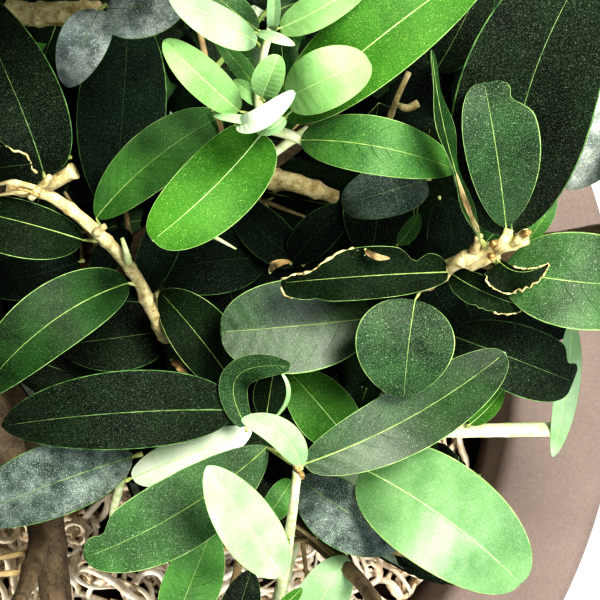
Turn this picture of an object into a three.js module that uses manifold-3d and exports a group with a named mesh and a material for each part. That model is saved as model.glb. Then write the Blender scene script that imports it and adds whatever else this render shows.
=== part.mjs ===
// A young olive grown as a low, many-boughed bush in a round planter with a wide rim.
// Millimetres, +Z up, origin at the middle of the planter's flat underside.
import * as THREE from 'three';
import { mergeVertices } from 'three/addons/utils/BufferGeometryUtils.js';
import Module from 'manifold-3d';

// Planter
const POT_HEIGHT = 330;
const RIM_RADIUS = 185;
const RIM_WIDTH = 37;
const RIM_DEPTH = 42;
const RIM_ROUND = 5;
const RIM_ROUND_STEPS = 2;
const RIM_UNDER_CHAMFER = 2;
const FOOT_RADIUS = 126;
const FOOT_CHAMFER = 3;
const WALL = 12;
const POT_SIDES = 48;

// Soil and the moss laid on it
const SOIL_BELOW_RIM = 34;
const MOSS_DEPTH = 8;
const MOSS_SWELL = 4;
const MOSS_RINGS = 6;
const MOSS_SIDES = 36;
const MOSS_HOLE_RADIUS = 33;
const MOSS_SEED = 5;

// Trunk, with a lobed flare at its foot that dies away by this height each time it loses two thirds
const TRUNK_FOOT_RADIUS = 14;
const TRUNK_TIP_RADIUS = 5.5;
const FLARE = 11;
const FLARE_HEIGHT = 13;
const FLARE_LOBES = 4;
const FLARE_LOBE_SHARE = 0.22;
const TRUNK_TAPER = 0.85;
const TRUNK_SIDES = 12;
const TRUNK_STEPS = 18;

// Boughs. Each runs level out of the trunk, dips under its mass and turns up through the middle of it.
const BOUGH_FOOT_RADIUS = 7.5;
const BOUGH_TIP_RADIUS = 3.4;
const BOUGH_TAPER = 0.7;
const BOUGH_SIDES = 8;
const BOUGH_STEPS = 7;
const BOUGH_RISE = 18;
const BOUGH_FIRST_BEND = 0.3;
const BOUGH_UNDER_MASS = { out: -0.2, up: -0.45 };
const STEM_MIDDLE = { out: 0, up: 0.05 };
const STEM_TIP = { out: 0.08, up: 0.6 };
const BOUGH_LEAST_SHARE = 0.36;

// Stems and twigs. Openings are angles in radians between a twig and what it grows on.
const STEM_TIP_RADIUS = 1.3;
const STEM_SIDES = 4;
const STEM_STEPS = 5;
const STEM_NODES = 3;
const FIRST_TWIGS = 0.16;
const LAST_TWIGS = 0.72;
const STEM_END_LEAVES = [0.8, 0.93];
const TWIG_RADIUS = 1.7;
const TWIG_TIP_RADIUS = 0.9;
const TWIG_SIDES = 3;
const TWIG_STEPS = 2;
const TWIG_SHARE = 0.78;
const TWIG_SHRINK = 0.26;
const TWIG_VARIES = 0.1;
const TWIG_LIFT = 0.17;
const TWIG_BEND = 0.5;
const TWIG_OPENING = 1.2;
const TWIG_OPENING_LAST = 0.95;
const TURN_VARIES = 0.45;
const QUARTER_TURN = 0.5 * Math.PI;

// Leaves, as they stand on a twig: their length as a share of the mass's reach, and their width of that
const TWIG_LEAVES = [0.6, 0.94];
const LEAF_SHARE = 0.73;
const LEAF_BREADTH = 0.49;
const LEAF_THICKNESS = 1.1;
const LEAF_WIDEST = 0.45;
const LEAF_ROOT = 1.2;
const LEAF_SHRINK = 0.12;
const LEAF_VARIES = 0.12;
const LEAF_OPENING = 0.95;
const LEAF_DROOP = 0.16;
const LEAF_STEEPEST = -0.35;
const TIP_LEAF_SHARE = 0.8;

// Clearances
const GAP = 0.3;
const LIMB_CLEARANCE = 2.2;
const SPACE_CLEARANCE = 0.6;
const RIM_CLEARANCE = 6;
const FINEST_EDGE = 0.05;
const SAME_PLACE = 1e-4;

// Steps of search and measure along a way, as shares of its length, and how finely the trunk is measured
const TRUNK_SEARCH_STEP = 0.004;
const ENTRY_STEP = 0.01;
const LIMB_PLACE_STEP = 0.02;
const TRUNK_DIVISIONS = 400;
// The least square of a sideways length that still gives a direction, for a shoot that grows upright
const LEAST_SIDEWAYS = 0.01;

// The crown stays low on its right side, where light falls straight down on the shoots over the rim:
// a square well, narrowing upward to a point this far over the rim, has nothing in it above the shoots.
const WELL_MIDDLE = [77, 17];
const WELL_TOP = 560;
const WELL_HALF_WIDTH = 102;
const WELL_FLOOR = 232;

// Where the trunk runs, as places over the rim, and the masses of foliage: the middle of each one's space
// and its reach, both over the rim too, the height on the trunk that its bough leaves at, and its seed.
const TRUNK_PATH = [[0, 0, GAP - SOIL_BELOW_RIM], [0, 0, -20], [-6, 5, 22], [-16, 8, 80], [-25, 10, 145],
  [-42, 14, 215], [-50, 17, 290], [-52, 20, 380]];
const TRUNK_MASS = 'crown_top';
const MASSES = [
  { name: 'crown_top', middle: [-50, 18, 345], reach: [100, 100, 92], seed: 52 },
  { name: 'high_back', middle: [-5, 122, 236], reach: [98, 88, 84], leaves_at: 128, seed: 12 },
  { name: 'high_left', middle: [-142, 44, 238], reach: [92, 98, 84], leaves_at: 112, seed: 13 },
  { name: 'high_front', middle: [-62, -104, 236], reach: [100, 88, 84], leaves_at: 142, seed: 14 },
  { name: 'low_back', middle: [72, 172, 118], reach: [96, 84, 84], leaves_at: 34, seed: 15 },
  { name: 'low_back_left', middle: [-92, 168, 116], reach: [96, 84, 84], leaves_at: 62, seed: 16 },
  { name: 'low_left', middle: [-186, -20, 112], reach: [80, 98, 84], leaves_at: 40, seed: 41 },
  { name: 'low_front_left', middle: [-118, -152, 112], reach: [92, 84, 84], leaves_at: 56, seed: 31 },
  { name: 'low_front', middle: [20, -170, 112], reach: [96, 82, 84], leaves_at: 38, seed: 19 },
  { name: 'near_left', middle: [-2, 62, 150], reach: [66, 70, 80], leaves_at: 94, seed: 61 },
  { name: 'near_back', middle: [84, 66, 150], reach: [66, 68, 80], leaves_at: 68, seed: 21 },
  { name: 'near_right', middle: [146, 36, 132], reach: [64, 82, 88], leaves_at: 26, seed: 22 },
  { name: 'near_front', middle: [90, -52, 114], reach: [68, 70, 82], leaves_at: 54, seed: 23 },
  { name: 'near_low', middle: [6, -52, 122], reach: [68, 66, 82], leaves_at: 80, seed: 24 },
];

const wasm = await Module();
wasm.setup();

const UP = new THREE.Vector3(0, 0, 1);
const overRim = ([x, y, height]) => new THREE.Vector3(x, y, POT_HEIGHT + height);

// A run of even numbers from 0 up to 1 that is the same each time for the same seed.
function seeded(seed) {
  let state = seed >>> 0;
  return () => {
    state = (state + 0x6d2b79f5) >>> 0;
    let mixed = state;
    mixed = Math.imul(mixed ^ (mixed >>> 15), mixed | 1);
    mixed ^= mixed + Math.imul(mixed ^ (mixed >>> 7), mixed | 61);
    return ((mixed ^ (mixed >>> 14)) >>> 0) / 4294967296;
  };
}

function toSolid(geometry) {
  const bare = geometry.clone();
  bare.deleteAttribute('normal');
  bare.deleteAttribute('uv');
  const merged = mergeVertices(bare, SAME_PLACE);
  return new wasm.Manifold(new wasm.Mesh({
    numProp: 3,
    vertProperties: Float32Array.from(merged.attributes.position.array),
    triVerts: Uint32Array.from(merged.index.array),
  }));
}

function toGeometry(solid) {
  const mesh = solid.getMesh();
  const geometry = new THREE.BufferGeometry();
  geometry.setAttribute('position', new THREE.BufferAttribute(Float32Array.from(mesh.vertProperties), 3));
  geometry.setIndex(new THREE.BufferAttribute(Uint32Array.from(mesh.triVerts), 1));
  return geometry;
}

// The largest of the bodies that a cut or a join leaves.
function mainBody(solid) {
  const bodies = solid.decompose();
  return bodies.reduce((best, body) => (body.volume() > best.volume() ? body : best));
}

// A closed limb along a stretch of a curve, its ends cut square. radiusAt takes the share of the
// stretch and the angle round the limb.
function limb(curve, from, to, sides, steps, radiusAt) {
  const positions = [];
  const indices = [];
  let across = new THREE.Vector3(1, 0, 0);
  for (let step = 0; step <= steps; step += 1) {
    const share = step / steps;
    const middle = curve.getPointAt(from + (to - from) * share);
    const along = curve.getTangentAt(from + (to - from) * share);
    across = across.clone().addScaledVector(along, -across.dot(along)).normalize();
    const beside = new THREE.Vector3().crossVectors(along, across);
    for (let side = 0; side < sides; side += 1) {
      const angle = (side / sides) * 2 * Math.PI;
      const radius = radiusAt(share, angle);
      const point = middle.clone();
      point.addScaledVector(across, Math.cos(angle) * radius);
      point.addScaledVector(beside, Math.sin(angle) * radius);
      positions.push(point.x, point.y, point.z);
      if (step < steps) {
        const here = step * sides + side;
        const next = step * sides + ((side + 1) % sides);
        indices.push(here, next, next + sides, here, next + sides, here + sides);
      }
    }
  }
  const last = steps * sides;
  for (let side = 1; side < sides - 1; side += 1) {
    indices.push(0, side + 1, side);
    indices.push(last, last + side, last + side + 1);
  }
  const geometry = new THREE.BufferGeometry();
  geometry.setAttribute('position', new THREE.Float32BufferAttribute(positions, 3));
  geometry.setIndex(indices);
  return geometry;
}

// An oval blade in eight faces, thickest at its middle, with its root at foot.
function blade(foot, along, face, length) {
  const halfWidth = length * LEAF_BREADTH * 0.5;
  const across = new THREE.Vector3().crossVectors(face, along).normalize();
  const widest = foot.clone().addScaledVector(along, length * LEAF_WIDEST);
  const tip = foot.clone().addScaledVector(along, length).addScaledVector(UP, -length * LEAF_DROOP);
  const points = [
    foot, tip,
    widest.clone().addScaledVector(across, halfWidth),
    widest.clone().addScaledVector(across, -halfWidth),
    widest.clone().addScaledVector(face, LEAF_THICKNESS / 2),
    widest.clone().addScaledVector(face, -LEAF_THICKNESS / 2),
  ];
  const [root, end, left, right, top, under] = [0, 1, 2, 3, 4, 5];
  const geometry = new THREE.BufferGeometry();
  geometry.setAttribute('position', new THREE.Float32BufferAttribute(points.flatMap((p) => [p.x, p.y, p.z]), 3));
  geometry.setIndex([
    root, top, left, root, right, top, end, left, top, end, top, right,
    root, left, under, root, under, right, end, under, left, end, right, under,
  ]);
  return { geometry, points };
}

// The planter: a tapered wall, a flat foot and a broad rim rounded at both edges.
const rimFoot = POT_HEIGHT - RIM_DEPTH;
const mouthRadius = RIM_RADIUS - RIM_WIDTH;
const innerFootRadius = FOOT_RADIUS - WALL;
const soilTop = POT_HEIGHT - SOIL_BELOW_RIM;
const innerRadiusAt = (z) => innerFootRadius
  + (mouthRadius - innerFootRadius) * ((z - WALL) / (POT_HEIGHT - RIM_ROUND - WALL));

function roundedEdge(radius, turn) {
  const points = [];
  for (let step = 0; step <= RIM_ROUND_STEPS; step += 1) {
    const angle = (step / RIM_ROUND_STEPS) * (Math.PI / 2);
    const out = turn > 0 ? Math.cos(angle) : -Math.sin(angle);
    const rise = turn > 0 ? Math.sin(angle) : Math.cos(angle);
    points.push([radius - turn * RIM_ROUND + RIM_ROUND * out, POT_HEIGHT - RIM_ROUND + RIM_ROUND * rise]);
  }
  return points;
}

function turned(profile, sides) {
  const geometry = new THREE.LatheGeometry(profile.map(([radius, z]) => new THREE.Vector2(radius, z)), sides);
  geometry.rotateX(Math.PI / 2);
  return geometry;
}

const potProfile = [
  [0, 0], [FOOT_RADIUS - FOOT_CHAMFER, 0], [FOOT_RADIUS, FOOT_CHAMFER],
  [mouthRadius + WALL, rimFoot],
  [RIM_RADIUS - RIM_UNDER_CHAMFER, rimFoot], [RIM_RADIUS, rimFoot + RIM_UNDER_CHAMFER],
  ...roundedEdge(RIM_RADIUS, 1), ...roundedEdge(mouthRadius, -1),
  [innerFootRadius, WALL], [0, WALL],
];
const potShape = toGeometry(toSolid(turned(potProfile, POT_SIDES)));

// Facets cut inside the true circle, so what fills the planter is smaller by as much, and clear of it.
const facetShare = Math.cos(Math.PI / POT_SIDES);
const fillRadiusAt = (z) => innerRadiusAt(z) * facetShare - GAP;
const soilProfile = [
  [0, WALL + GAP], [fillRadiusAt(WALL), WALL + GAP], [fillRadiusAt(soilTop), soilTop], [0, soilTop],
];
const soilShape = toGeometry(toSolid(turned(soilProfile, POT_SIDES)));

// The moss: a ring round the trunk's foot, its top swelling in soft humps.
function mossRing() {
  const random = seeded(MOSS_SEED);
  const bottom = soilTop + GAP;
  const outer = fillRadiusAt(bottom) - GAP;
  const profile = [[MOSS_HOLE_RADIUS, bottom], [outer, bottom]];
  for (let ring = 0; ring <= MOSS_RINGS; ring += 1) {
    profile.push([outer + (MOSS_HOLE_RADIUS - outer) * (ring / MOSS_RINGS), bottom + MOSS_DEPTH]);
  }
  profile.push([MOSS_HOLE_RADIUS, bottom]);
  const geometry = turned(profile, MOSS_SIDES);
  geometry.deleteAttribute('normal');
  geometry.deleteAttribute('uv');
  const merged = mergeVertices(geometry, SAME_PLACE);
  const place = merged.attributes.position;
  for (let i = 0; i < place.count; i += 1) {
    if (place.getZ(i) > bottom + MOSS_DEPTH / 2) {
      place.setZ(i, place.getZ(i) + MOSS_SWELL * (random() * 2 - 1));
    }
  }
  return toGeometry(toSolid(merged));
}

// The trunk, from its flat cut on the soil to the tip that the top mass grows on.
const trunkPath = new THREE.CatmullRomCurve3(TRUNK_PATH.map(overRim));
trunkPath.arcLengthDivisions = TRUNK_DIVISIONS;

function trunkRadius(share, angle, extra) {
  const height = share * trunkPath.getLength();
  const flare = Math.exp(-height / FLARE_HEIGHT);
  const plain = TRUNK_FOOT_RADIUS + (TRUNK_TIP_RADIUS - TRUNK_FOOT_RADIUS) * share ** TRUNK_TAPER;
  const lobe = 1 + FLARE_LOBE_SHARE * flare * Math.cos(FLARE_LOBES * angle);
  return (plain + FLARE * flare) * lobe + extra;
}

function pointOnTrunk(height) {
  let share = 0;
  while (share < 1 && trunkPath.getPointAt(share).z < POT_HEIGHT + height) {
    share += TRUNK_SEARCH_STEP;
  }
  return trunkPath.getPointAt(Math.min(share, 1));
}

// Whether a place is in a mass's own space: inside its reach and nearer to its middle than to any other.
function inSpace(mass, place) {
  const middle = overRim(mass.middle);
  const [x, y, z] = [place.x - middle.x, place.y - middle.y, place.z - middle.z];
  const [rx, ry, rz] = mass.reach;
  if ((x / rx) ** 2 + (y / ry) ** 2 + (z / rz) ** 2 > 1) {
    return false;
  }
  const own = place.distanceTo(middle);
  return MASSES.every((other) => other === mass
    || place.distanceTo(overRim(other.middle)) > own + 2 * SPACE_CLEARANCE);
}

function inWell(place) {
  const height = place.z - POT_HEIGHT;
  const half = WELL_HALF_WIDTH * (1 - height / WELL_TOP);
  return height > WELL_FLOOR && Math.abs(place.x - WELL_MIDDLE[0]) < half
    && Math.abs(place.y - WELL_MIDDLE[1]) < half;
}

// The way a mass's bough and stem run on as one curve: out of the trunk, under the mass and up through it.
function wayTo(mass) {
  const middle = overRim(mass.middle);
  if (mass.name === TRUNK_MASS) {
    return trunkPath;
  }
  const start = pointOnTrunk(mass.leaves_at);
  const out = middle.clone().sub(start).setZ(0);
  const distance = out.length();
  out.normalize();
  const shifted = ({ out: share, up }) => middle.clone().addScaledVector(out, distance * share)
    .addScaledVector(UP, mass.reach[2] * up);
  return new THREE.CatmullRomCurve3([
    start,
    start.clone().addScaledVector(out, distance * BOUGH_FIRST_BEND).addScaledVector(UP, BOUGH_RISE),
    shifted(BOUGH_UNDER_MASS),
    shifted(STEM_MIDDLE),
    shifted(STEM_TIP),
  ]);
}

// Each mass starts where its way has come into the mass's own space for good, clear of the trunk.
for (const mass of MASSES) {
  mass.way = wayTo(mass);
  let entry = 1;
  while (entry > BOUGH_LEAST_SHARE && inSpace(mass, mass.way.getPointAt(entry - ENTRY_STEP))) {
    entry -= ENTRY_STEP;
  }
  mass.entry = entry;
  mass.gapShare = GAP / mass.way.getLength();
}

const trunkEntry = MASSES[0].entry;
const trunkSolid = toSolid(limb(trunkPath, 0, trunkEntry, TRUNK_SIDES, TRUNK_STEPS,
  (share, angle) => trunkRadius(share * trunkEntry, angle, 0)));
const trunkRoom = toSolid(limb(trunkPath, 0, trunkEntry, TRUNK_SIDES, TRUNK_STEPS,
  (share, angle) => trunkRadius(share * trunkEntry, angle, GAP)));

const boughRadius = (share) => BOUGH_FOOT_RADIUS + (BOUGH_TIP_RADIUS - BOUGH_FOOT_RADIUS) * share ** BOUGH_TAPER;

function bough(mass) {
  const shape = limb(mass.way, 0, mass.entry - mass.gapShare, BOUGH_SIDES, BOUGH_STEPS, boughRadius);
  return mainBody(toSolid(shape).subtract(trunkRoom));
}

// Places along every limb and stem, with the room each needs round it.
const limbPlaces = [];
for (const mass of MASSES) {
  for (let share = 0; share <= 1; share += LIMB_PLACE_STEP) {
    const place = mass.way.getPointAt(share);
    const inStem = share > mass.entry;
    const room = mass.way === trunkPath && !inStem ? trunkRadius(share, 0, 0) : boughRadius(share);
    limbPlaces.push({ place, room: room + LIMB_CLEARANCE, stemOf: inStem ? mass : null });
  }
}

function isFree(mass, places) {
  return places.every((place) => inSpace(mass, place) && !inWell(place)
    && place.z > POT_HEIGHT + RIM_CLEARANCE
    && limbPlaces.every((near) => near.stemOf === mass || place.distanceTo(near.place) > near.room));
}

// The rule that every mass grows by. The stem bears pairs of twigs, each pair turned a quarter round from
// the last. A twig bears pairs of leaves turned in the same way, and one leaf at its tip.
function growMass(mass) {
  const random = seeded(mass.seed);
  const size = Math.min(...mass.reach);
  const alongStem = (share) => mass.entry + (1 - mass.entry) * share;
  const solids = [toSolid(limb(mass.way, mass.entry, 1, STEM_SIDES, STEM_STEPS, (share) => BOUGH_TIP_RADIUS
    + (STEM_TIP_RADIUS - BOUGH_TIP_RADIUS) * share))];

  // The two ways out of a node, opposite each other and opened by an angle from what bears them.
  function pairOfWays(path, share, node, opening) {
    const along = path.getTangentAt(share);
    const level = new THREE.Vector3().crossVectors(UP, along);
    const turn = (node % 2) * QUARTER_TURN + (random() * 2 - 1) * TURN_VARIES;
    const across = (level.lengthSq() > LEAST_SIDEWAYS ? level.normalize() : new THREE.Vector3(0, 1, 0))
      .applyAxisAngle(along, turn);
    return [1, -1].map((side) => along.clone().multiplyScalar(Math.cos(opening))
      .addScaledVector(across, side * Math.sin(opening)));
  }

  function addLeaf(node, way, scale) {
    const along = way.clone().setZ(Math.max(way.z, LEAF_STEEPEST)).normalize();
    const face = UP.clone().addScaledVector(along, -UP.dot(along)).normalize();
    const foot = node.clone().addScaledVector(along, -LEAF_ROOT);
    const { geometry, points } = blade(foot, along, face, size * LEAF_SHARE * scale);
    if (isFree(mass, points.slice(1))) {
      solids.push(toSolid(geometry));
    }
  }

  function addLeaves(path, share, node) {
    for (const way of pairOfWays(path, share, node, LEAF_OPENING)) {
      const varied = 1 + (random() * 2 - 1) * LEAF_VARIES;
      addLeaf(path.getPointAt(share), way, varied * (1 - LEAF_SHRINK * node));
    }
  }

  function addTwig(foot, way, length) {
    const path = new THREE.CatmullRomCurve3([
      foot,
      foot.clone().addScaledVector(way, length * TWIG_BEND),
      foot.clone().addScaledVector(way, length).addScaledVector(UP, length * TWIG_LIFT),
    ]);
    if (!isFree(mass, TWIG_LEAVES.map((share) => path.getPointAt(share)))) {
      return;
    }
    solids.push(toSolid(limb(path, 0, 1, TWIG_SIDES, TWIG_STEPS,
      (share) => TWIG_RADIUS + (TWIG_TIP_RADIUS - TWIG_RADIUS) * share)));
    TWIG_LEAVES.forEach((share, node) => addLeaves(path, share, node));
    addLeaf(path.getPointAt(1), path.getTangentAt(1), TIP_LEAF_SHARE);
  }

  for (let node = 0; node < STEM_NODES; node += 1) {
    const done = node / (STEM_NODES - 1);
    const share = alongStem(FIRST_TWIGS + (LAST_TWIGS - FIRST_TWIGS) * done);
    const opening = TWIG_OPENING + (TWIG_OPENING_LAST - TWIG_OPENING) * done;
    for (const way of pairOfWays(mass.way, share, node, opening)) {
      const varied = 1 + (random() * 2 - 1) * TWIG_VARIES;
      addTwig(mass.way.getPointAt(share), way, size * varied * (TWIG_SHARE - TWIG_SHRINK * done));
    }
  }
  STEM_END_LEAVES.forEach((share, node) => addLeaves(mass.way, alongStem(share), node));
  addLeaf(mass.way.getPointAt(1), mass.way.getTangentAt(1), TIP_LEAF_SHARE);
  return mainBody(wasm.Manifold.union(solids).simplify(FINEST_EDGE));
}

// Finishes
const taupe = new THREE.MeshStandardMaterial({ color: 0xa8978f, roughness: 0.82, metalness: 0 });
const earth = new THREE.MeshStandardMaterial({ color: 0x2b211b, roughness: 1, metalness: 0 });
const moss = new THREE.MeshStandardMaterial({ color: 0xcdb99a, roughness: 0.95, metalness: 0 });
const bark = new THREE.MeshStandardMaterial({ color: 0x9c8b6d, roughness: 0.9, metalness: 0 });
const leafGreen = new THREE.MeshStandardMaterial({ color: 0x2f5a2b, roughness: 0.55, metalness: 0 });

const tree = new THREE.Group();
function place(name, geometry, material) {
  const mesh = new THREE.Mesh(geometry, material);
  mesh.name = name;
  tree.add(mesh);
}

place('pot', potShape, taupe);
place('soil', soilShape, earth);
place('moss', mossRing(), moss);
place('trunk', toGeometry(trunkSolid), bark);
for (const mass of MASSES) {
  if (mass.name !== TRUNK_MASS) {
    place(`bough_${mass.name}`, toGeometry(bough(mass)), bark);
  }
  place(`foliage_${mass.name}`, toGeometry(growMass(mass)), leafGreen);
}

export default tree;
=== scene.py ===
# A young olive bush in a broad-rimmed resin planter dressed with curly moss, seen from straight above.
import math

import bpy
import numpy as np
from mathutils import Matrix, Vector, noise


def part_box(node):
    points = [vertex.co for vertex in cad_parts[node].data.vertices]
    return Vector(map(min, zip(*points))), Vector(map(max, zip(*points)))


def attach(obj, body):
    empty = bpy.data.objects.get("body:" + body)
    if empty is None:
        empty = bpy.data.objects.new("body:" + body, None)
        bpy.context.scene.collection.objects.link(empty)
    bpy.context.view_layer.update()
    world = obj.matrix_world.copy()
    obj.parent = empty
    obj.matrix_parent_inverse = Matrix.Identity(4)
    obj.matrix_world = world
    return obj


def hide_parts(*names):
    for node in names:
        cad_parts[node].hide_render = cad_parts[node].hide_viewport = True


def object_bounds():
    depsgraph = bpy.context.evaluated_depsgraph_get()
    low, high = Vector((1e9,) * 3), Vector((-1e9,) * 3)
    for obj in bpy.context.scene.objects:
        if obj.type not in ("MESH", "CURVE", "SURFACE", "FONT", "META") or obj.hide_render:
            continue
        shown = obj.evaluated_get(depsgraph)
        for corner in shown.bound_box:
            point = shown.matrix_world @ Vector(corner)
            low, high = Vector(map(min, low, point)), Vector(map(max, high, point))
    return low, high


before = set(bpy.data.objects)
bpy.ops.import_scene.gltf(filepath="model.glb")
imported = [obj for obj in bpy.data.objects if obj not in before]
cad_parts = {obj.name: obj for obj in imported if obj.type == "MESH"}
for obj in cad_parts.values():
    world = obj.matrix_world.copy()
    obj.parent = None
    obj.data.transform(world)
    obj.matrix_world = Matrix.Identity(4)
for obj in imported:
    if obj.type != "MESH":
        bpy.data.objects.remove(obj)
cad_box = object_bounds()

# The view. A camera held level over the crown looks straight down past the leaves to the planter's rim.
# The picture's right is +X and its top is +Y. Lengths are millimetres until a mesh is made.
MM = 0.001
RIM_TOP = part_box("pot")[1].z / MM
PICTURE_SIDE = 600
VIEW_MIDDLE = np.array([76.6, 20.0])
VIEW_HEIGHT = 560.0
VIEW_AT_RIM = 201.6
NEAREST_SEEN = 20


def pixel_size(over_rim):
    """How many millimetres a pixel of the picture spans at a height over the rim."""
    return VIEW_AT_RIM / PICTURE_SIDE * (1 - over_rim / VIEW_HEIGHT)


def seen(px, py, over_rim):
    """The place at some height over the rim that shows at a pixel of the picture."""
    scale = pixel_size(over_rim)
    x = VIEW_MIDDLE[0] + (px - PICTURE_SIDE / 2) * scale
    y = VIEW_MIDDLE[1] - (py - PICTURE_SIDE / 2) * scale
    return np.array([x, y, RIM_TOP + over_rim])


def pixel_of(place):
    """The pixel of the picture that a place shows at."""
    scale = pixel_size(place[2] - RIM_TOP)
    px = PICTURE_SIDE / 2 + (place[0] - VIEW_MIDDLE[0]) / scale
    py = PICTURE_SIDE / 2 - (place[1] - VIEW_MIDDLE[1]) / scale
    return px, py


camera = bpy.data.objects.new("camera", bpy.data.cameras.new("camera"))
camera.data.angle = 2 * math.atan(VIEW_AT_RIM / 2 / VIEW_HEIGHT)
camera.data.clip_start = NEAREST_SEEN * MM
camera.location = (VIEW_MIDDLE[0] * MM, VIEW_MIDDLE[1] * MM, (RIM_TOP + VIEW_HEIGHT) * MM)
bpy.context.scene.collection.objects.link(camera)
bpy.context.scene.camera = camera

# The studio. A pale sweep of card lies under the planter. A broad soft light hangs high at the picture's
# upper right, weaker ones stand at its lower right and low at its lower left, and the room gives the rest.
FLOOR_SIDE = 8000
FLOOR_COLOUR = "#fdfdfc"
ROOM_COLOUR = "#e9eef2"
ROOM_STRENGTH = 0.24
KEY_LIGHT = {"at": (850, 650, 2500), "side": 800, "watts": 92, "colour": "#fffaf0"}
FILL_LIGHT = {"at": (1000, -950, 2200), "side": 1000, "watts": 26, "colour": "#f6f9ff"}
LOW_LIGHT = {"at": (-1100, -1400, 1150), "side": 700, "watts": 38, "colour": "#fffaf2"}


def linear(colour, alpha=1.0):
    """A colour written as sRGB hex, as the linear numbers that Blender takes."""
    parts = [int(colour[i:i + 2], 16) / 255 for i in (1, 3, 5)]
    lit = [p / 12.92 if p <= 0.04045 else ((p + 0.055) / 1.055) ** 2.4 for p in parts]
    return (*lit, alpha)


def feed(tree, node, inputs):
    """Sets a node's inputs. Each is a value, or another node's output to link."""
    for name, value in inputs.items():
        if isinstance(value, bpy.types.NodeSocket):
            tree.links.new(value, node.inputs[name])
        else:
            node.inputs[name].default_value = value


def put(tree, kind, inputs=None, **settings):
    """Adds a shader node with its inputs and its settings."""
    made = tree.nodes.new("ShaderNode" + kind)
    for name, value in settings.items():
        setattr(made, name, value)
    feed(tree, made, inputs or {})
    return made


def surface(name, **constants):
    """A material whose shader's own sockets hold its constants, with its node tree and its shader."""
    material = bpy.data.materials.new(name)
    material.use_nodes = True
    shader = material.node_tree.nodes["Principled BSDF"]
    for socket, value in constants.items():
        shader.inputs[socket.replace("_", " ")].default_value = value
    return material, material.node_tree, shader


def scale_for(size):
    """The texture scale at which a pattern's features are this many millimetres across."""
    return 1 / (size * MM)


def link_in(piece):
    bpy.context.scene.collection.objects.link(piece)
    return piece


half = FLOOR_SIDE / 2 * MM
floor_mesh = bpy.data.meshes.new("floor")
floor_corners = [(-half, -half, 0), (half, -half, 0), (half, half, 0), (-half, half, 0)]
floor_mesh.from_pydata(floor_corners, [], [(0, 1, 2, 3)])
floor_mesh.materials.append(surface("pale_card", Base_Color=linear(FLOOR_COLOUR), Roughness=0.9)[0])
link_in(bpy.data.objects.new("floor", floor_mesh))

room = bpy.data.worlds.new("room")
bpy.context.scene.world = room
room.use_nodes = True
room.node_tree.nodes["Background"].inputs["Color"].default_value = linear(ROOM_COLOUR)
room.node_tree.nodes["Background"].inputs["Strength"].default_value = ROOM_STRENGTH

for name, light in {"key_light": KEY_LIGHT, "fill_light": FILL_LIGHT, "low_light": LOW_LIGHT}.items():
    lamp = bpy.data.lights.new(name, "AREA")
    lamp.size = light["side"] * MM
    lamp.energy = light["watts"]
    lamp.color = linear(light["colour"])[:3]
    hung = link_in(bpy.data.objects.new(name, lamp))
    hung.location = Vector(light["at"]) * MM
    aim = Vector((0, 0, RIM_TOP * MM)) - hung.location
    hung.rotation_euler = aim.to_track_quat("-Z", "Y").to_euler()

bpy.context.scene.view_settings.view_transform = "Standard"
bpy.context.scene.view_settings.look = "High Contrast"

# The planter. A round tapered tub of fibre-filled resin, cast in one piece, with a broad rim that is
# almost flat on top and rounded at both edges. It stands on its flat foot.
POT_FOOT_RADIUS = 126
POT_FOOT_ROUND = 3
POT_WALL = 12
POT_RIM_RADIUS = 185
POT_RIM_WIDTH = 37
POT_RIM_DEPTH = 42
POT_RIM_ROUND = 5
POT_SIDES = 160
POT_SIDE_STEPS = 24
POT_INNER_STEPS = 16
POT_ROUND_STEPS = 8
POT_RIM_STEPS = 6
POT_EDGE_STEPS = 5
POT_SMALL_STEPS = 4
POT_CREASE = 1.5
POT_UNDER_ROUND = 2
POT_MOUTH_RADIUS = POT_RIM_RADIUS - POT_RIM_WIDTH
RESIN_DARK = "#63564f"
RESIN_PALE = "#80726b"
RESIN_GRAIN = 0.9
RESIN_CLOUDS = 45


class Joined:
    """Shapes of one kind, gathered to become one mesh."""

    def __init__(self):
        self.points, self.faces, self.slots, self.count = [], [], [], 0

    def add(self, points, faces, slot=0):
        self.points.append(np.asarray(points, float).reshape(-1, 3))
        self.faces.append(faces + self.count)
        self.slots.append(np.broadcast_to(slot, len(faces)))
        self.count += len(self.points[-1])

    def build(self, name, materials, slot, replaced=()):
        """The one object that the shapes make. It rides on the plant's only body."""
        mesh = bpy.data.meshes.new(name)
        points = np.concatenate(self.points) * MM
        corners = np.concatenate([faces.reshape(-1) for faces in self.faces])
        sizes = np.concatenate([np.full(len(faces), faces.shape[1]) for faces in self.faces])
        mesh.vertices.add(len(points))
        mesh.vertices.foreach_set("co", points.reshape(-1))
        mesh.loops.add(len(corners))
        mesh.loops.foreach_set("vertex_index", corners.astype(np.int32))
        mesh.polygons.add(len(sizes))
        starts = np.concatenate([[0], np.cumsum(sizes)[:-1]])
        mesh.polygons.foreach_set("loop_start", starts.astype(np.int32))
        mesh.polygons.foreach_set("material_index", np.concatenate(self.slots).astype(np.int32))
        for material in materials:
            mesh.materials.append(material)
        mesh.update(calc_edges=True)
        mesh.validate()
        mesh.shade_smooth()
        piece = link_in(bpy.data.objects.new(name, mesh))
        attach(piece, "root")
        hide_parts(*replaced)
        return piece


def grid_faces(rows, columns, closed):
    """The four-cornered faces of a grid of points, row after row. A closed grid joins its last column
    to its first."""
    row, column = np.meshgrid(np.arange(rows - 1), np.arange(columns if closed else columns - 1),
                              indexing="ij")
    after = (column + 1) % columns
    here, beside = row * columns + column, row * columns + after
    return np.stack([here, beside, beside + columns, here + columns], -1).reshape(-1, 4)


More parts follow.
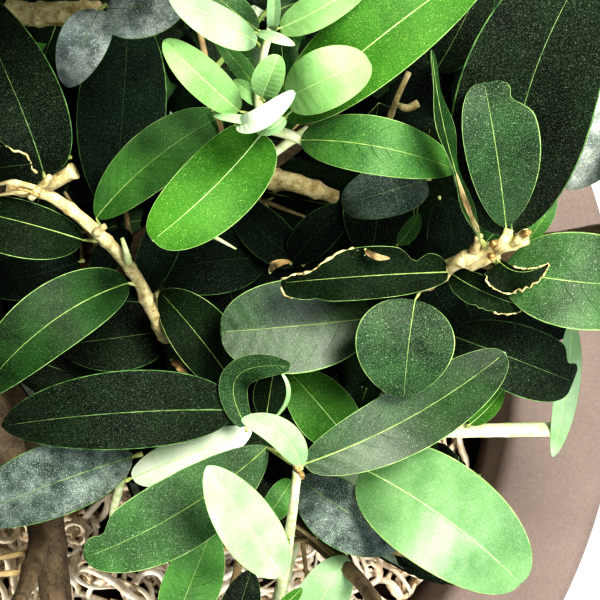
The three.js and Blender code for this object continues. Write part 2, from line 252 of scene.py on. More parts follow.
def arc(middle_radius, middle_height, radius, start, end, steps):
    """Points of a profile along an arc between two angles in degrees."""
    angles = np.radians(np.linspace(start, end, steps + 1))
    return [(middle_radius + radius * math.cos(a), middle_height + radius * math.sin(a)) for a in angles]


def turned(profile, sides):
    """The points of a profile turned round the planter's axis, ring after ring."""
    angles = np.linspace(0, 2 * math.pi, sides, endpoint=False)
    radius, height = np.array(profile, float).T
    rings = [radius[:, None] * np.cos(angles), radius[:, None] * np.sin(angles),
             np.repeat(height[:, None], sides, 1)]
    return np.stack(rings, -1)


def run(start, end, steps):
    """Points of a profile along a straight stretch, without its ends."""
    return [tuple(p) for p in np.linspace(start, end, steps + 1)[1:-1]]


def resin():
    """Fibre-filled resin, cast and left matt: it scatters light evenly, with a fine stony grain."""
    material, tree, shader = surface("cast_resin", IOR=1.5)
    place = put(tree, "TexCoord").outputs["Object"]
    clouds = put(tree, "TexNoise", {"Vector": place, "Scale": scale_for(RESIN_CLOUDS), "Detail": 4.0})
    grain = put(tree, "TexNoise",
                {"Vector": place, "Scale": scale_for(RESIN_GRAIN), "Detail": 3.0, "Roughness": 0.7})
    mixed = put(tree, "Math",
                {0: grain.outputs["Fac"], 1: 0.9, 2: clouds.outputs["Fac"]}, operation="MULTIPLY_ADD")
    share = put(tree, "MapRange", {"Value": mixed.outputs[0], "From Min": 0.62, "From Max": 1.28})
    colour = put(tree, "Mix",
                 {0: share.outputs[0], 6: linear(RESIN_DARK), 7: linear(RESIN_PALE)}, data_type="RGBA")
    dull = put(tree, "MapRange", {"Value": grain.outputs["Fac"], "To Min": 0.62, "To Max": 0.86})
    bump = put(tree, "Bump", {"Strength": 0.35, "Distance": 0.25 * MM, "Height": grain.outputs["Fac"]})
    feed(tree, shader, {"Base Color": colour.outputs[2], "Roughness": dull.outputs[0],
                        "Normal": bump.outputs[0]})
    return material


rim_foot = RIM_TOP - POT_RIM_DEPTH
rim_bend = RIM_TOP - POT_RIM_ROUND
foot_lip = POT_FOOT_RADIUS - POT_FOOT_ROUND
outer_lip = POT_RIM_RADIUS - POT_RIM_ROUND
inner_lip = POT_MOUTH_RADIUS + POT_RIM_ROUND
under_rim = POT_MOUTH_RADIUS + POT_WALL
inside_radius = POT_FOOT_RADIUS - POT_WALL
pot_profile = [
    (0, 0), *run((0, 0), (foot_lip, 0), POT_SMALL_STEPS),
    *arc(foot_lip, POT_FOOT_ROUND, POT_FOOT_ROUND, -90, -4, POT_SMALL_STEPS),
    *run((POT_FOOT_RADIUS, POT_FOOT_ROUND), (under_rim, rim_foot), POT_SIDE_STEPS),
    (under_rim, rim_foot - POT_CREASE), (under_rim + POT_CREASE, rim_foot),
    *arc(POT_RIM_RADIUS - POT_UNDER_ROUND, rim_foot + POT_UNDER_ROUND, POT_UNDER_ROUND, -90, 0,
         POT_SMALL_STEPS),
    *run((POT_RIM_RADIUS, rim_foot + POT_UNDER_ROUND), (POT_RIM_RADIUS, rim_bend), POT_EDGE_STEPS),
    *arc(outer_lip, rim_bend, POT_RIM_ROUND, 0, 90, POT_ROUND_STEPS),
    *run((outer_lip, RIM_TOP), (inner_lip, RIM_TOP), POT_RIM_STEPS),
    *arc(inner_lip, rim_bend, POT_RIM_ROUND, 90, 180, POT_ROUND_STEPS),
    *run((POT_MOUTH_RADIUS, rim_bend), (inside_radius, POT_WALL), POT_INNER_STEPS),
    (inside_radius, POT_WALL), (0, POT_WALL),
]
pot = Joined()
pot.add(turned(pot_profile, POT_SIDES), grid_faces(len(pot_profile), POT_SIDES, True))
pot.build("planter", [resin()], "pot", ["pot"])

# The soil. Damp bark compost fills the planter to two fingers' width under its rim. It is nearly black,
# with crumbs and chips that stand up under the moss.
SOIL_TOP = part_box("soil")[1].z / MM
SOIL_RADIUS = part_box("moss")[1].x / MM
SOIL_RINGS = 32
SOIL_SIDES = 96
SOIL_SWELL = 2.2
SOIL_CRUMBS = 900
CRUMB_SIZES = (1.2, 4.2)
CRUMB_VARIES = (0.5, 1.1)
CRUMB_RISE = 0.2
CRUMB_SPREAD = (0.02, 0.97)
SOIL_GAP = 1
SOIL_FLOOR_GAP = 0.5
SOIL_HUMP = 14
SOIL_LUMP = 4
SOIL_DARK = "#0d0906"
SOIL_PALE = "#2f2119"
SOIL_GRAIN = 2.4


def compost():
    """Damp compost: dark wet crumbs with a little shine on their wet sides."""
    material, tree, shader = surface("bark_compost", IOR=1.4)
    place = put(tree, "TexCoord").outputs["Object"]
    crumbs = put(tree, "TexNoise",
                 {"Vector": place, "Scale": scale_for(SOIL_GRAIN), "Detail": 5.0, "Roughness": 0.65})
    colour = put(tree, "Mix",
                 {0: crumbs.outputs["Fac"], 6: linear(SOIL_DARK), 7: linear(SOIL_PALE)}, data_type="RGBA")
    dull = put(tree, "MapRange", {"Value": crumbs.outputs["Fac"], "To Min": 0.7, "To Max": 0.95})
    bump = put(tree, "Bump", {"Strength": 0.8, "Distance": 0.6 * MM, "Height": crumbs.outputs["Fac"]})
    feed(tree, shader, {"Base Color": colour.outputs[2], "Roughness": dull.outputs[0],
                        "Normal": bump.outputs[0]})
    return material


def swell(x, y, size):
    """A smooth unevenness between -1 and 1 that changes over this many millimetres."""
    return noise.noise(Vector((x / size, y / size, 3.7)))


soil_top_radii = np.linspace(SOIL_RADIUS, 0, SOIL_RINGS)
soil_floor = POT_WALL + SOIL_FLOOR_GAP
soil_profile = [(0, soil_floor), (inside_radius - SOIL_GAP, soil_floor)]
soil_profile += [(radius, SOIL_TOP - SOIL_SWELL) for radius in soil_top_radii]
soil_points = turned(soil_profile, SOIL_SIDES)
for ring in soil_points[3:]:
    for point in ring:
        hump, lump = (swell(point[0], point[1], size) for size in (SOIL_HUMP, SOIL_LUMP))
        point[2] += SOIL_SWELL * (0.6 * hump + 0.4 * lump)
soil = Joined()
soil.add(soil_points, grid_faces(len(soil_profile), SOIL_SIDES, True))
soil_random = np.random.default_rng(4)
crumb_corners = np.array([(1, 0, 0), (0, 1, 0), (-1, 0, 0), (0, -1, 0), (0, 0, 1), (0, 0, -1)], float)
crumb_faces = np.array([(0, 1, 4), (1, 2, 4), (2, 3, 4), (3, 0, 4),
                        (1, 0, 5), (2, 1, 5), (3, 2, 5), (0, 3, 5)])
for _ in range(SOIL_CRUMBS):
    angle = soil_random.uniform(0, 2 * math.pi)
    reach = SOIL_RADIUS * math.sqrt(soil_random.uniform(*CRUMB_SPREAD))
    size = soil_random.uniform(*CRUMB_SIZES)
    turn = np.linalg.qr(soil_random.normal(size=(3, 3)))[0]
    corners = crumb_corners * soil_random.uniform(*CRUMB_VARIES, (6, 1)) @ turn * size * 0.5
    height = SOIL_TOP - SOIL_SWELL + size * CRUMB_RISE
    corners += (reach * math.cos(angle), reach * math.sin(angle), height)
    soil.add(corners, crumb_faces)
soil.build("compost", [compost()], "soil", ["soil"])

# The moss. A loose bed of dry curly strands, sold as a dressing for planters, laid on the soil by hand
# round the trunk's foot. Each strand is a tapering tube that curls on itself. A layer has its count of
# strands, and the least and most height of their middles over the soil.
MOSS_LAYERS = {"moss_under": (440, 0.6, 6.5), "moss_over": (600, 3.5, 15.0)}
MOSS_HOLE = 24
MOSS_SPREAD = 0.98
MOSS_EDGE = 3
MOSS_BOUND = 2.5
MOSS_TAPER = 0.55
MOSS_STEPS = 24
MOSS_STEP = 2.4
MOSS_RADII = (0.8, 1.5)
MOSS_SIDES = 4
# The strands' cream and tan, drawn whiter than dry moss is: painted light that makes up for the crown's
# shade on the moss.
MOSS_PALE_PAINTED_LIGHT = "#fff8ec"
MOSS_TAN_PAINTED_LIGHT = "#f4e4cc"
MOSS_BROWN = "#b89a72"
MOSS_STAIN = 7
MOSS_FIBRE = 0.7
MOSS_CURL = 0.6
MOSS_TIGHTEST = 0.95
MOSS_WANDER = 0.2
MOSS_WAVES = (0.2, 0.55)


def tube_faces(rings, sides):
    """The faces of a tube of rings. Both its ends are closed where its count of sides is even."""
    fan = np.array([(0, i, i + 1, i + 2) for i in range(1, sides - 2, 2)])
    return np.concatenate([grid_faces(rings, sides, True), fan[:, ::-1], fan + (rings - 1) * sides])


def tubes(paths, radii, sides):
    """Points and faces of tubes along many paths at once. paths has a row of places for each tube, and
    radii a row of radii."""
    along = np.gradient(paths, axis=1)
    along /= np.linalg.norm(along, axis=2, keepdims=True) + 1e-9
    overall = paths[:, -1] - paths[:, 0]
    keeps = np.eye(3)[np.argmin(np.abs(overall), axis=1)][:, None]
    across = np.cross(along, keeps)
    across /= np.linalg.norm(across, axis=2, keepdims=True) + 1e-9
    beside = np.cross(along, across)
    angles = np.linspace(0, 2 * math.pi, sides, endpoint=False)[None, None, :, None]
    out = across[:, :, None] * np.cos(angles) + beside[:, :, None] * np.sin(angles)
    points = paths[:, :, None] + out * radii[:, :, None, None]
    steps = paths.shape[1]
    shifts = np.arange(len(paths)) * steps * sides
    return points, (tube_faces(steps, sides)[None] + shifts[:, None, None]).reshape(-1, 4)


def dry_moss():
    """Dry moss strands: matt, papery, from cream to brown, each strand of its own shade."""
    material, tree, shader = surface("dry_moss", Roughness=0.9, IOR=1.4)
    place = put(tree, "TexCoord").outputs["Object"]
    own = put(tree, "NewGeometry").outputs["Random Per Island"]
    stains = put(tree, "TexNoise", {"Vector": place, "Scale": scale_for(MOSS_STAIN), "Detail": 3.0})
    pale = put(tree, "Mix", {0: own, 6: linear(MOSS_PALE_PAINTED_LIGHT), 7: linear(MOSS_TAN_PAINTED_LIGHT)}, data_type="RGBA")
    stained = put(tree, "MapRange",
                  {"Value": stains.outputs["Fac"], "From Min": 0.5, "From Max": 0.72, "To Max": 0.85})
    colour = put(tree, "Mix",
                 {0: stained.outputs[0], 6: pale.outputs[2], 7: linear(MOSS_BROWN)}, data_type="RGBA")
    fibres = put(tree, "TexNoise", {"Vector": place, "Scale": scale_for(MOSS_FIBRE), "Detail": 2.0})
    bump = put(tree, "Bump", {"Strength": 0.5, "Distance": 0.2 * MM, "Height": fibres.outputs["Fac"]})
    feed(tree, shader, {"Base Color": colour.outputs[2], "Normal": bump.outputs[0]})
    return material


moss_finish = dry_moss()
moss_random = np.random.default_rng(7)
for name, (count, low, high) in MOSS_LAYERS.items():
    reach = np.sqrt(moss_random.uniform((MOSS_HOLE / SOIL_RADIUS) ** 2, MOSS_SPREAD, count))
    reach *= SOIL_RADIUS - MOSS_EDGE
    angle = moss_random.uniform(0, 2 * math.pi, count)
    place = np.stack([reach * np.cos(angle), reach * np.sin(angle)], -1)
    heading = moss_random.uniform(0, 2 * math.pi, count)
    curl = moss_random.uniform(0.0, MOSS_CURL, count) * moss_random.choice([-1, 1], count)
    rise = moss_random.uniform(0, 2 * math.pi, count)
    tempo = moss_random.uniform(*MOSS_WAVES, count)
    paths = np.zeros((count, MOSS_STEPS, 3))
    for step in range(MOSS_STEPS):
        height = low + (high - low) * (0.5 + 0.5 * np.sin(rise + tempo * step))
        paths[:, step] = np.column_stack([place, SOIL_TOP + height])
        curl += moss_random.normal(0, MOSS_WANDER, count)
        curl = np.clip(curl, -MOSS_TIGHTEST, MOSS_TIGHTEST)
        heading += curl
        ahead = place + MOSS_STEP * np.column_stack([np.cos(heading), np.sin(heading)])
        far = np.linalg.norm(ahead, axis=1)
        bound = np.clip(far, MOSS_HOLE, SOIL_RADIUS - MOSS_BOUND)
        place = ahead * (bound / far)[:, None]
    taper = 1 - MOSS_TAPER * np.abs(np.linspace(-1, 1, MOSS_STEPS)) ** 4
    radii = moss_random.uniform(*MOSS_RADII, (count, 1)) * taper
    bed = Joined()
    bed.add(*tubes(paths, radii, MOSS_SIDES))
    bed.build(name, [moss_finish], "moss", ["moss"])

# The trunk and boughs. An olive's living wood: one leaning trunk, flared where it enters the soil, and
# thirteen boughs that leave it one over another, each swollen at its foot and thinning to a stem. The
# thin bark is drawn into long shallow ridges. The way each runs is worked out as in the part's source.
TRUNK_PATH = [(0, 0, -33.7), (0, 0, -20), (-6, 5, 22), (-16, 8, 80), (-25, 10, 145), (-42, 14, 215),
              (-50, 17, 290), (-52, 20, 380)]
TRUNK_RADII = (14, 5.5)
TRUNK_TAPER = 0.85
FLARE = {"size": 11, "height": 13, "lobes": 4, "lobe_share": 0.22}
BOUGH_RADII = (7.5, 3.4)
BOUGH_TAPER = 0.7
BOUGH_RISE = 18
BOUGH_FIRST_BEND = 0.3
BOUGH_LATER_BENDS = [(-0.2, -0.45), (0, 0.05), (0.08, 0.6)]
BOUGH_LEAST_SHARE = 0.36
STEM_TIP_RADIUS = 1.3
COLLAR = 3.2
COLLAR_REACH = 16
LIMB_RING_SPACING = 2.5
TRUNK_SIDES = 60
BOUGH_SIDES = 32
RIDGE_LENGTH = 24
RIDGES_ROUND = 2.6
RIDGE_DEPTH = 0.12
CRACK_LENGTH = 7
CRACKS_ROUND = 7
CRACK_DEPTH = 0.06
KNOT_SPACING = 31
KNOT_SIZE = 0.13
KNOT_SHARPNESS = 0.006
KNOT_SHIFT = 0.37
# The trunk's and boughs' bark, drawn darker than an olive's grey-tan bark: partly painted shade, so that
# the low boughs over the moss read as shade.
BARK_SHADED_DARK = "#54483a"
BARK_SHADED_PALE = "#8f7d63"
BARK_PORE = "#33291d"
BARK_PLATE = 5
BARK_BEND = 9
BARK_GRAIN = 1.1
PORE_SPACING = 2.1

# Each mass of foliage: the middle of its space over the rim, the space's reach, the height on the trunk
# that its bough leaves at, and the seed its twigs grow from.
MASSES = {
    "crown_top": {"middle": (-50, 18, 345), "reach": (100, 100, 92), "seed": 52},
    "high_back": {"middle": (-5, 122, 236), "reach": (98, 88, 84), "leaves_at": 128, "seed": 12},
    "high_left": {"middle": (-142, 44, 238), "reach": (92, 98, 84), "leaves_at": 112, "seed": 13},
    "high_front": {"middle": (-62, -104, 236), "reach": (100, 88, 84), "leaves_at": 142, "seed": 14},
    "low_back": {"middle": (72, 172, 118), "reach": (96, 84, 84), "leaves_at": 34, "seed": 15},
    "low_back_left": {"middle": (-92, 168, 116), "reach": (96, 84, 84), "leaves_at": 62, "seed": 16},
    "low_left": {"middle": (-186, -20, 112), "reach": (80, 98, 84), "leaves_at": 40, "seed": 41},
    "low_front_left": {"middle": (-118, -152, 112), "reach": (92, 84, 84), "leaves_at": 56, "seed": 31},
    "low_front": {"middle": (20, -170, 112), "reach": (96, 82, 84), "leaves_at": 38, "seed": 19},
    "near_left": {"middle": (-2, 62, 150), "reach": (66, 70, 80), "leaves_at": 94, "seed": 61},
    "near_back": {"middle": (84, 66, 150), "reach": (66, 68, 80), "leaves_at": 68, "seed": 21},
    "near_right": {"middle": (146, 36, 132), "reach": (64, 82, 88), "leaves_at": 26, "seed": 22},
    "near_front": {"middle": (90, -52, 114), "reach": (68, 70, 82), "leaves_at": 54, "seed": 23},
    "near_low": {"middle": (6, -52, 122), "reach": (68, 66, 82), "leaves_at": 80, "seed": 24},
}
SPACE_CLEARANCE = 0.6
UP = np.array([0.0, 0.0, 1.0])


def unit(vector):
    return vector / np.linalg.norm(vector)


def over_rim(place):
    return np.array(place, float) + (0, 0, RIM_TOP)


class Way:
    """A smooth way through some places, measured by shares of its length. It keeps to the corners as a
    centripetal Catmull-Rom curve does."""

    def __init__(self, places, divisions=200):
        places = [np.array(place, float) for place in places]
        first, last = 2 * places[0] - places[1], 2 * places[-1] - places[-2]
        self.corners = np.array([first, *places, last])
        self.parts = np.linspace(0, 1, divisions + 1)
        bends = self.bend(self.parts)
        self.lengths = np.concatenate([[0], np.cumsum(np.linalg.norm(np.diff(bends, axis=0), axis=1))])
        self.length = self.lengths[-1]

    def bend(self, part):
        part = np.clip(np.atleast_1d(part), 0, 1) * (len(self.corners) - 3)
        index = np.minimum(part.astype(int), len(self.corners) - 4)
        share = (part - index)[:, None]
        a, b, c, d = (self.corners[index + i] for i in range(4))
        sides = ((a, b), (b, c), (c, d))
        before, here, after = (np.sum((q - p) ** 2, 1, keepdims=True) ** 0.25 for p, q in sides)
        leave = ((b - a) / before - (c - a) / (before + here) + (c - b) / here) * here
        meet = ((c - b) / here - (d - b) / (here + after) + (d - c) / after) * here
        return (b + leave * share + (3 * (c - b) - 2 * leave - meet) * share ** 2
                + (2 * (b - c) + leave + meet) * share ** 3)

    def part_at(self, share):
        return np.interp(np.atleast_1d(share) * self.length, self.lengths, self.parts)

    def at(self, share):
        places = self.bend(self.part_at(share))
        return places if np.ndim(share) else places[0]

    def along(self, share):
        part = self.part_at(share)
        ways = self.bend(part + 1e-4) - self.bend(part - 1e-4)
        ways /= np.linalg.norm(ways, axis=1, keepdims=True)
        return ways if np.ndim(share) else ways[0]


trunk_way = Way([over_rim(place) for place in TRUNK_PATH], 400)
mass_middles = np.array([over_rim(mass["middle"]) for mass in MASSES.values()])


def trunk_radius(share, angle):
    flare = np.exp(-share * trunk_way.length / FLARE["height"])
    plain = TRUNK_RADII[0] + (TRUNK_RADII[1] - TRUNK_RADII[0]) * share ** TRUNK_TAPER
    lobes = 1 + FLARE["lobe_share"] * flare * np.cos(FLARE["lobes"] * angle)
    return (plain + FLARE["size"] * flare) * lobes


def bough_radius(share):
    return BOUGH_RADII[0] + (BOUGH_RADII[1] - BOUGH_RADII[0]) * share ** BOUGH_TAPER


def in_space(name, places):
    """Whether each place is inside a mass's reach and nearer to its middle than to any other."""
    places = np.atleast_2d(places)
    mine = list(MASSES).index(name)
    inside = np.sum(((places - mass_middles[mine]) / MASSES[name]["reach"]) ** 2, 1) <= 1
    apart = np.linalg.norm(places[:, None] - mass_middles[None], axis=2)
    others = np.delete(apart, mine, 1)
    return inside & (others > apart[:, [mine]] + 2 * SPACE_CLEARANCE).all(1)


def way_to(name):
    """Out of the trunk, under the mass and up through it."""
    mass, middle = MASSES[name], over_rim(MASSES[name]["middle"])
    if "leaves_at" not in mass:
        return trunk_way
    share = 0
    while share < 1 and trunk_way.at(share)[2] < RIM_TOP + mass["leaves_at"]:
        share += 0.004
    start = trunk_way.at(min(share, 1))
    out = (middle - start) * (1, 1, 0)
    first = start + out * BOUGH_FIRST_BEND + UP * BOUGH_RISE
    later = [middle + out * far + UP * mass["reach"][2] * up for far, up in BOUGH_LATER_BENDS]
    return Way([start, first, *later])


for name, mass in MASSES.items():
    mass["way"] = way_to(name)
    mass["entry"] = 1
    while mass["entry"] > BOUGH_LEAST_SHARE and in_space(name, mass["way"].at(mass["entry"] - 0.01))[0]:
        mass["entry"] -= 0.01


def ridged(length, angle, seed, fineness):
    """How far bark stands out, as a share of the limb's radius: long ridges and short cracks."""
    ridge = noise.noise(Vector((length * fineness / RIDGE_LENGTH, RIDGES_ROUND * math.cos(angle) + seed,
                                RIDGES_ROUND * math.sin(angle))))
    crack = noise.noise(Vector((length * fineness / CRACK_LENGTH + seed, CRACKS_ROUND * math.cos(angle),
                                CRACKS_ROUND * math.sin(angle))))
    return RIDGE_DEPTH * ridge + CRACK_DEPTH * crack


def limb_rings(places, sides, radius_at, seed, relief, fineness):
    """Rings of points along a limb, with the bark's relief."""
    gaps = np.linalg.norm(np.diff(places, axis=0), axis=1)
    lengths = np.concatenate([[0], np.cumsum(gaps)])
    ways = np.gradient(places, axis=0)
    ways /= np.linalg.norm(ways, axis=1, keepdims=True)
    angles = np.linspace(0, 2 * math.pi, sides, endpoint=False)
    across = np.array([1.0, 0.0, 0.0]) if abs(ways[0][0]) < 0.9 else np.array([0.0, 1.0, 0.0])
    rings = np.zeros((len(places), sides, 3))
    for i, (place, way, length) in enumerate(zip(places, ways, lengths)):
        across = unit(across - way * np.dot(across, way))
        beside = np.cross(way, across)
        radii = radius_at(length / lengths[-1], angles) * np.ones(sides)
        from_knot = (length * fineness / KNOT_SPACING + seed * KNOT_SHIFT) % 1 - 0.5
        knot = math.exp(-from_knot ** 2 / KNOT_SHARPNESS)
        radii *= 1 + KNOT_SIZE * knot * relief
        radii *= 1 + relief * np.array([ridged(length, angle, seed, fineness) for angle in angles])
        outward = np.cos(angles)[:, None] * across + np.sin(angles)[:, None] * beside
        rings[i] = place + radii[:, None] * outward
    return rings


def add_limb(heap, places, sides, radius_at, seed, slot=0, relief=1.0, fineness=1.0):
    rings = limb_rings(places, sides, radius_at, seed, relief, fineness)
    heap.add(rings, tube_faces(len(places), sides), slot)


def bark(name, dark, pale, pore, cracks=0.5, blotch=9):
    """Thin bark on living wood: dull, grey-tan, darker in its cracks, dotted with corky pores."""
    material, tree, shader = surface(name, IOR=1.45)
    place = put(tree, "TexCoord").outputs["Object"]
    blotches = put(tree, "TexNoise",
                   {"Vector": place, "Scale": scale_for(blotch), "Detail": 6.0, "Roughness": 0.7})
    share = put(tree, "MapRange", {"Value": blotches.outputs["Fac"], "From Min": 0.32, "From Max": 0.68})
    bent = put(tree, "VectorMath",
               {0: blotches.outputs["Color"], 1: (BARK_BEND * MM,) * 3,
                2: place}, operation="MULTIPLY_ADD")
    colour = put(tree, "Mix", {0: share.outputs[0], 6: linear(dark), 7: linear(pale)}, data_type="RGBA")
    net = put(tree, "TexVoronoi",
              {"Vector": bent.outputs[0], "Scale": scale_for(BARK_PLATE)}, feature="DISTANCE_TO_EDGE")
    cracked = put(tree, "MapRange",
                  {"Value": net.outputs["Distance"], "From Max": 0.06, "To Min": cracks, "To Max": 0.0})
    darker = put(tree, "Mix",
                 {0: cracked.outputs[0], 6: colour.outputs[2], 7: linear(pore)}, data_type="RGBA")
    pores = put(tree, "TexVoronoi", {"Vector": place, "Scale": scale_for(PORE_SPACING)})
    dotted = put(tree, "MapRange",
                 {"Value": pores.outputs["Distance"], "From Min": 0.12, "From Max": 0.24, "To Min": 0.5,
                  "To Max": 0.0})
    spotted = put(tree, "Mix",
                  {0: dotted.outputs[0], 6: darker.outputs[2], 7: linear(pore)}, data_type="RGBA")
    grain = put(tree, "TexNoise", {"Vector": place, "Scale": scale_for(BARK_GRAIN), "Detail": 4.0})
    dull = put(tree, "MapRange", {"Value": grain.outputs["Fac"], "To Min": 0.7, "To Max": 0.95})
    bump = put(tree, "Bump", {"Strength": 0.6, "Distance": 0.35 * MM, "Height": grain.outputs["Fac"]})
    feed(tree, shader, {"Base Color": spotted.outputs[2], "Roughness": dull.outputs[0],
                        "Normal": bump.outputs[0]})
    return material


def even_places(way, start, end, spacing):
    steps = max(4, round(way.length * (end - start) / spacing))
    return way.at(np.linspace(start, end, steps + 1))


limbs = Joined()
trunk_end = MASSES["crown_top"]["entry"]
add_limb(limbs, even_places(trunk_way, 0, trunk_end, LIMB_RING_SPACING), TRUNK_SIDES,
         lambda share, angle: trunk_radius(share * trunk_end, angle), 0.4)
for index, (name, mass) in enumerate(MASSES.items()):
    way, entry = mass["way"], mass["entry"]
    first = entry if name == "crown_top" else 0

    def thickness(share, angle):
        """Thinning to where the mass begins, then on to the stem's tip, and swollen at the foot."""
        along = share * (1 - first) + first
        if along < entry:
            wood = bough_radius(along / entry)
        else:
            wood = BOUGH_RADII[1] + (STEM_TIP_RADIUS - BOUGH_RADII[1]) * (along - entry) / (1 - entry)
        if name != "crown_top":
            wood += COLLAR * math.exp(-along * way.length / COLLAR_REACH)
        return wood

    add_limb(limbs, even_places(way, first, 1, LIMB_RING_SPACING), BOUGH_SIDES, thickness, index + 1.3)
old_bark = bark("olive_bark", BARK_SHADED_DARK, BARK_SHADED_PALE, BARK_PORE)
limbs.build("trunk_and_boughs", [old_bark], "bark",
            ["trunk", *(f"bough_{name}" for name in MASSES if name != "crown_top")])

# The leaves' making. An olive's leaf is a leathery oval blade on a short stalk, with a pale midrib that
# runs on from the stalk, fine side veins, a thin pale margin, and a silvery felt on its underside.
LEAF_THICK = 0.45
LEAST_WIDTH = 0.03
EDGE_THINNING = 0.75
EDGE_WAVE_SHIFT = 1.9
NEAR_ACROSS = np.array([-1, -0.978, -0.8, -0.6, -0.4, -0.22, -0.08, 0,
                        0.08, 0.22, 0.4, 0.6, 0.8, 0.978, 1])
NEAR_ROWS = 36
SHADED_ROWS = 16
FAR_ACROSS = np.array([-1, -0.5, 0, 0.5, 1])
FAR_ROWS = 6
MIDRIB_SINK = 0.25
MIDRIB_END = 0.97
VEIN_PAIRS = 8
VEIN_FEET = (0.1, 0.74)
VEIN_STAGGER = 0.02
VEIN_SLANT = 0.17
VEIN_REACH = 0.8
VEIN_SINK = 0.02
VEIN_SIDES = 4
RIPPLES = 10
RIPPLE_SLANT = 0.14
VEIN_STEPS = 6
VEIN_RADIUS = 0.075
# Each tint: its deeper and its fresher green, the colour of its scales, how strongly the scales and the
# whitish patches between them show (partly dust, partly a painted sheen), its roughness and its shine.
TINTS = {
    "shaded": ("#050f07", "#0f2013", "#6a806e", 0.3, 0.02, 0.65, 0.1),
    "dark": ("#030b04", "#0b1e0b", "#a9bd9e", 0.15, 0.02, 0.66, 0.12),
    "dusty": ("#13231a", "#2a3d31", "#b4c5b4", 0.36, 0.35, 0.6, 0.3),
    "clouded": ("#101e18", "#2b3e34", "#b6c5bd", 0.34, 0.62, 0.6, 0.3),
    "frosted": ("#36443f", "#75847f", "#e2eae6", 0.4, 1.1, 0.6, 0.3),
    "stippled": ("#0e2613", "#234625", "#a4c692", 0.32, 0.1, 0.5, 0.24),
    "glossed": ("#0c240b", "#1f4219", "#a4c692", 0.22, 0.08, 0.42, 0.6),
    "silvered": ("#1a3f16", "#336129", "#bed6ae", 0.26, 0.1, 0.45, 0.36),
    "deep": ("#030d03", "#081c08", "#86b073", 0.11, 0.03, 0.62, 0.12),
    "full": ("#0a230a", "#20481a", "#8dbb77", 0.15, 0.06, 0.5, 0.26),
    "mid": ("#285522", "#44782f", "#a5cf88", 0.25, 0.1, 0.52, 0.4),
    "bright": ("#235510", "#3b6f20", "#a9d66c", 0.25, 0.08, 0.55, 0.26),
    # a mid green under a strong gloss, whose whitish patches are a painted sheen
    "bloomed": ("#4a7741", "#66905a", "#dde9d6", 0.16, 0.14, 0.38, 0.7),
    "young": ("#6a9a55", "#90b87b", "#cfe8b4", 0.2, 0.15, 0.52, 0.3),
    "pale": ("#7da670", "#a5c59c", "#e6f2d6", 0.16, 0.2, 0.55, 0.3),
    "white": ("#bcd2b4", "#e4eedf", "#f4f8f0", 0.2, 0.2, 0.6, 0.3),
    "dry": ("#7a5a38", "#cdb78e", "#e8dcbc", 0.1, 0.0, 0.7, 0.3),
}
# The underside's silvery felt, drawn greyer and darker than it is: painted shade, so that undersides seen
# deep in the crown stay dim.
UNDERSIDE_SHADED_DEEP = "#7c8f76"
UNDERSIDE_SHADED_PALE = "#b7c3af"
MARGIN_GREEN = "#6f9450"
MARGIN_PALE = "#a9c582"
MARGIN_SHADED_DEEP = "#33572d"
MARGIN_SHADED_PALE = "#6f9a55"
LEAF_CLOUD = 11
# the size of the whitish patches, partly dust and partly a painted sheen
DUST_AND_SHEEN_SIZE = 6.5
FELT_GRAIN = 1.6
MARGIN_GRAIN = 3
RIB_GRAIN = 2
# A real leaf's scales are about 0.15 mm across. They are drawn coarser, so that they show.
FLECK_SIZE = 0.26
SPECK_SPACING = 1.3


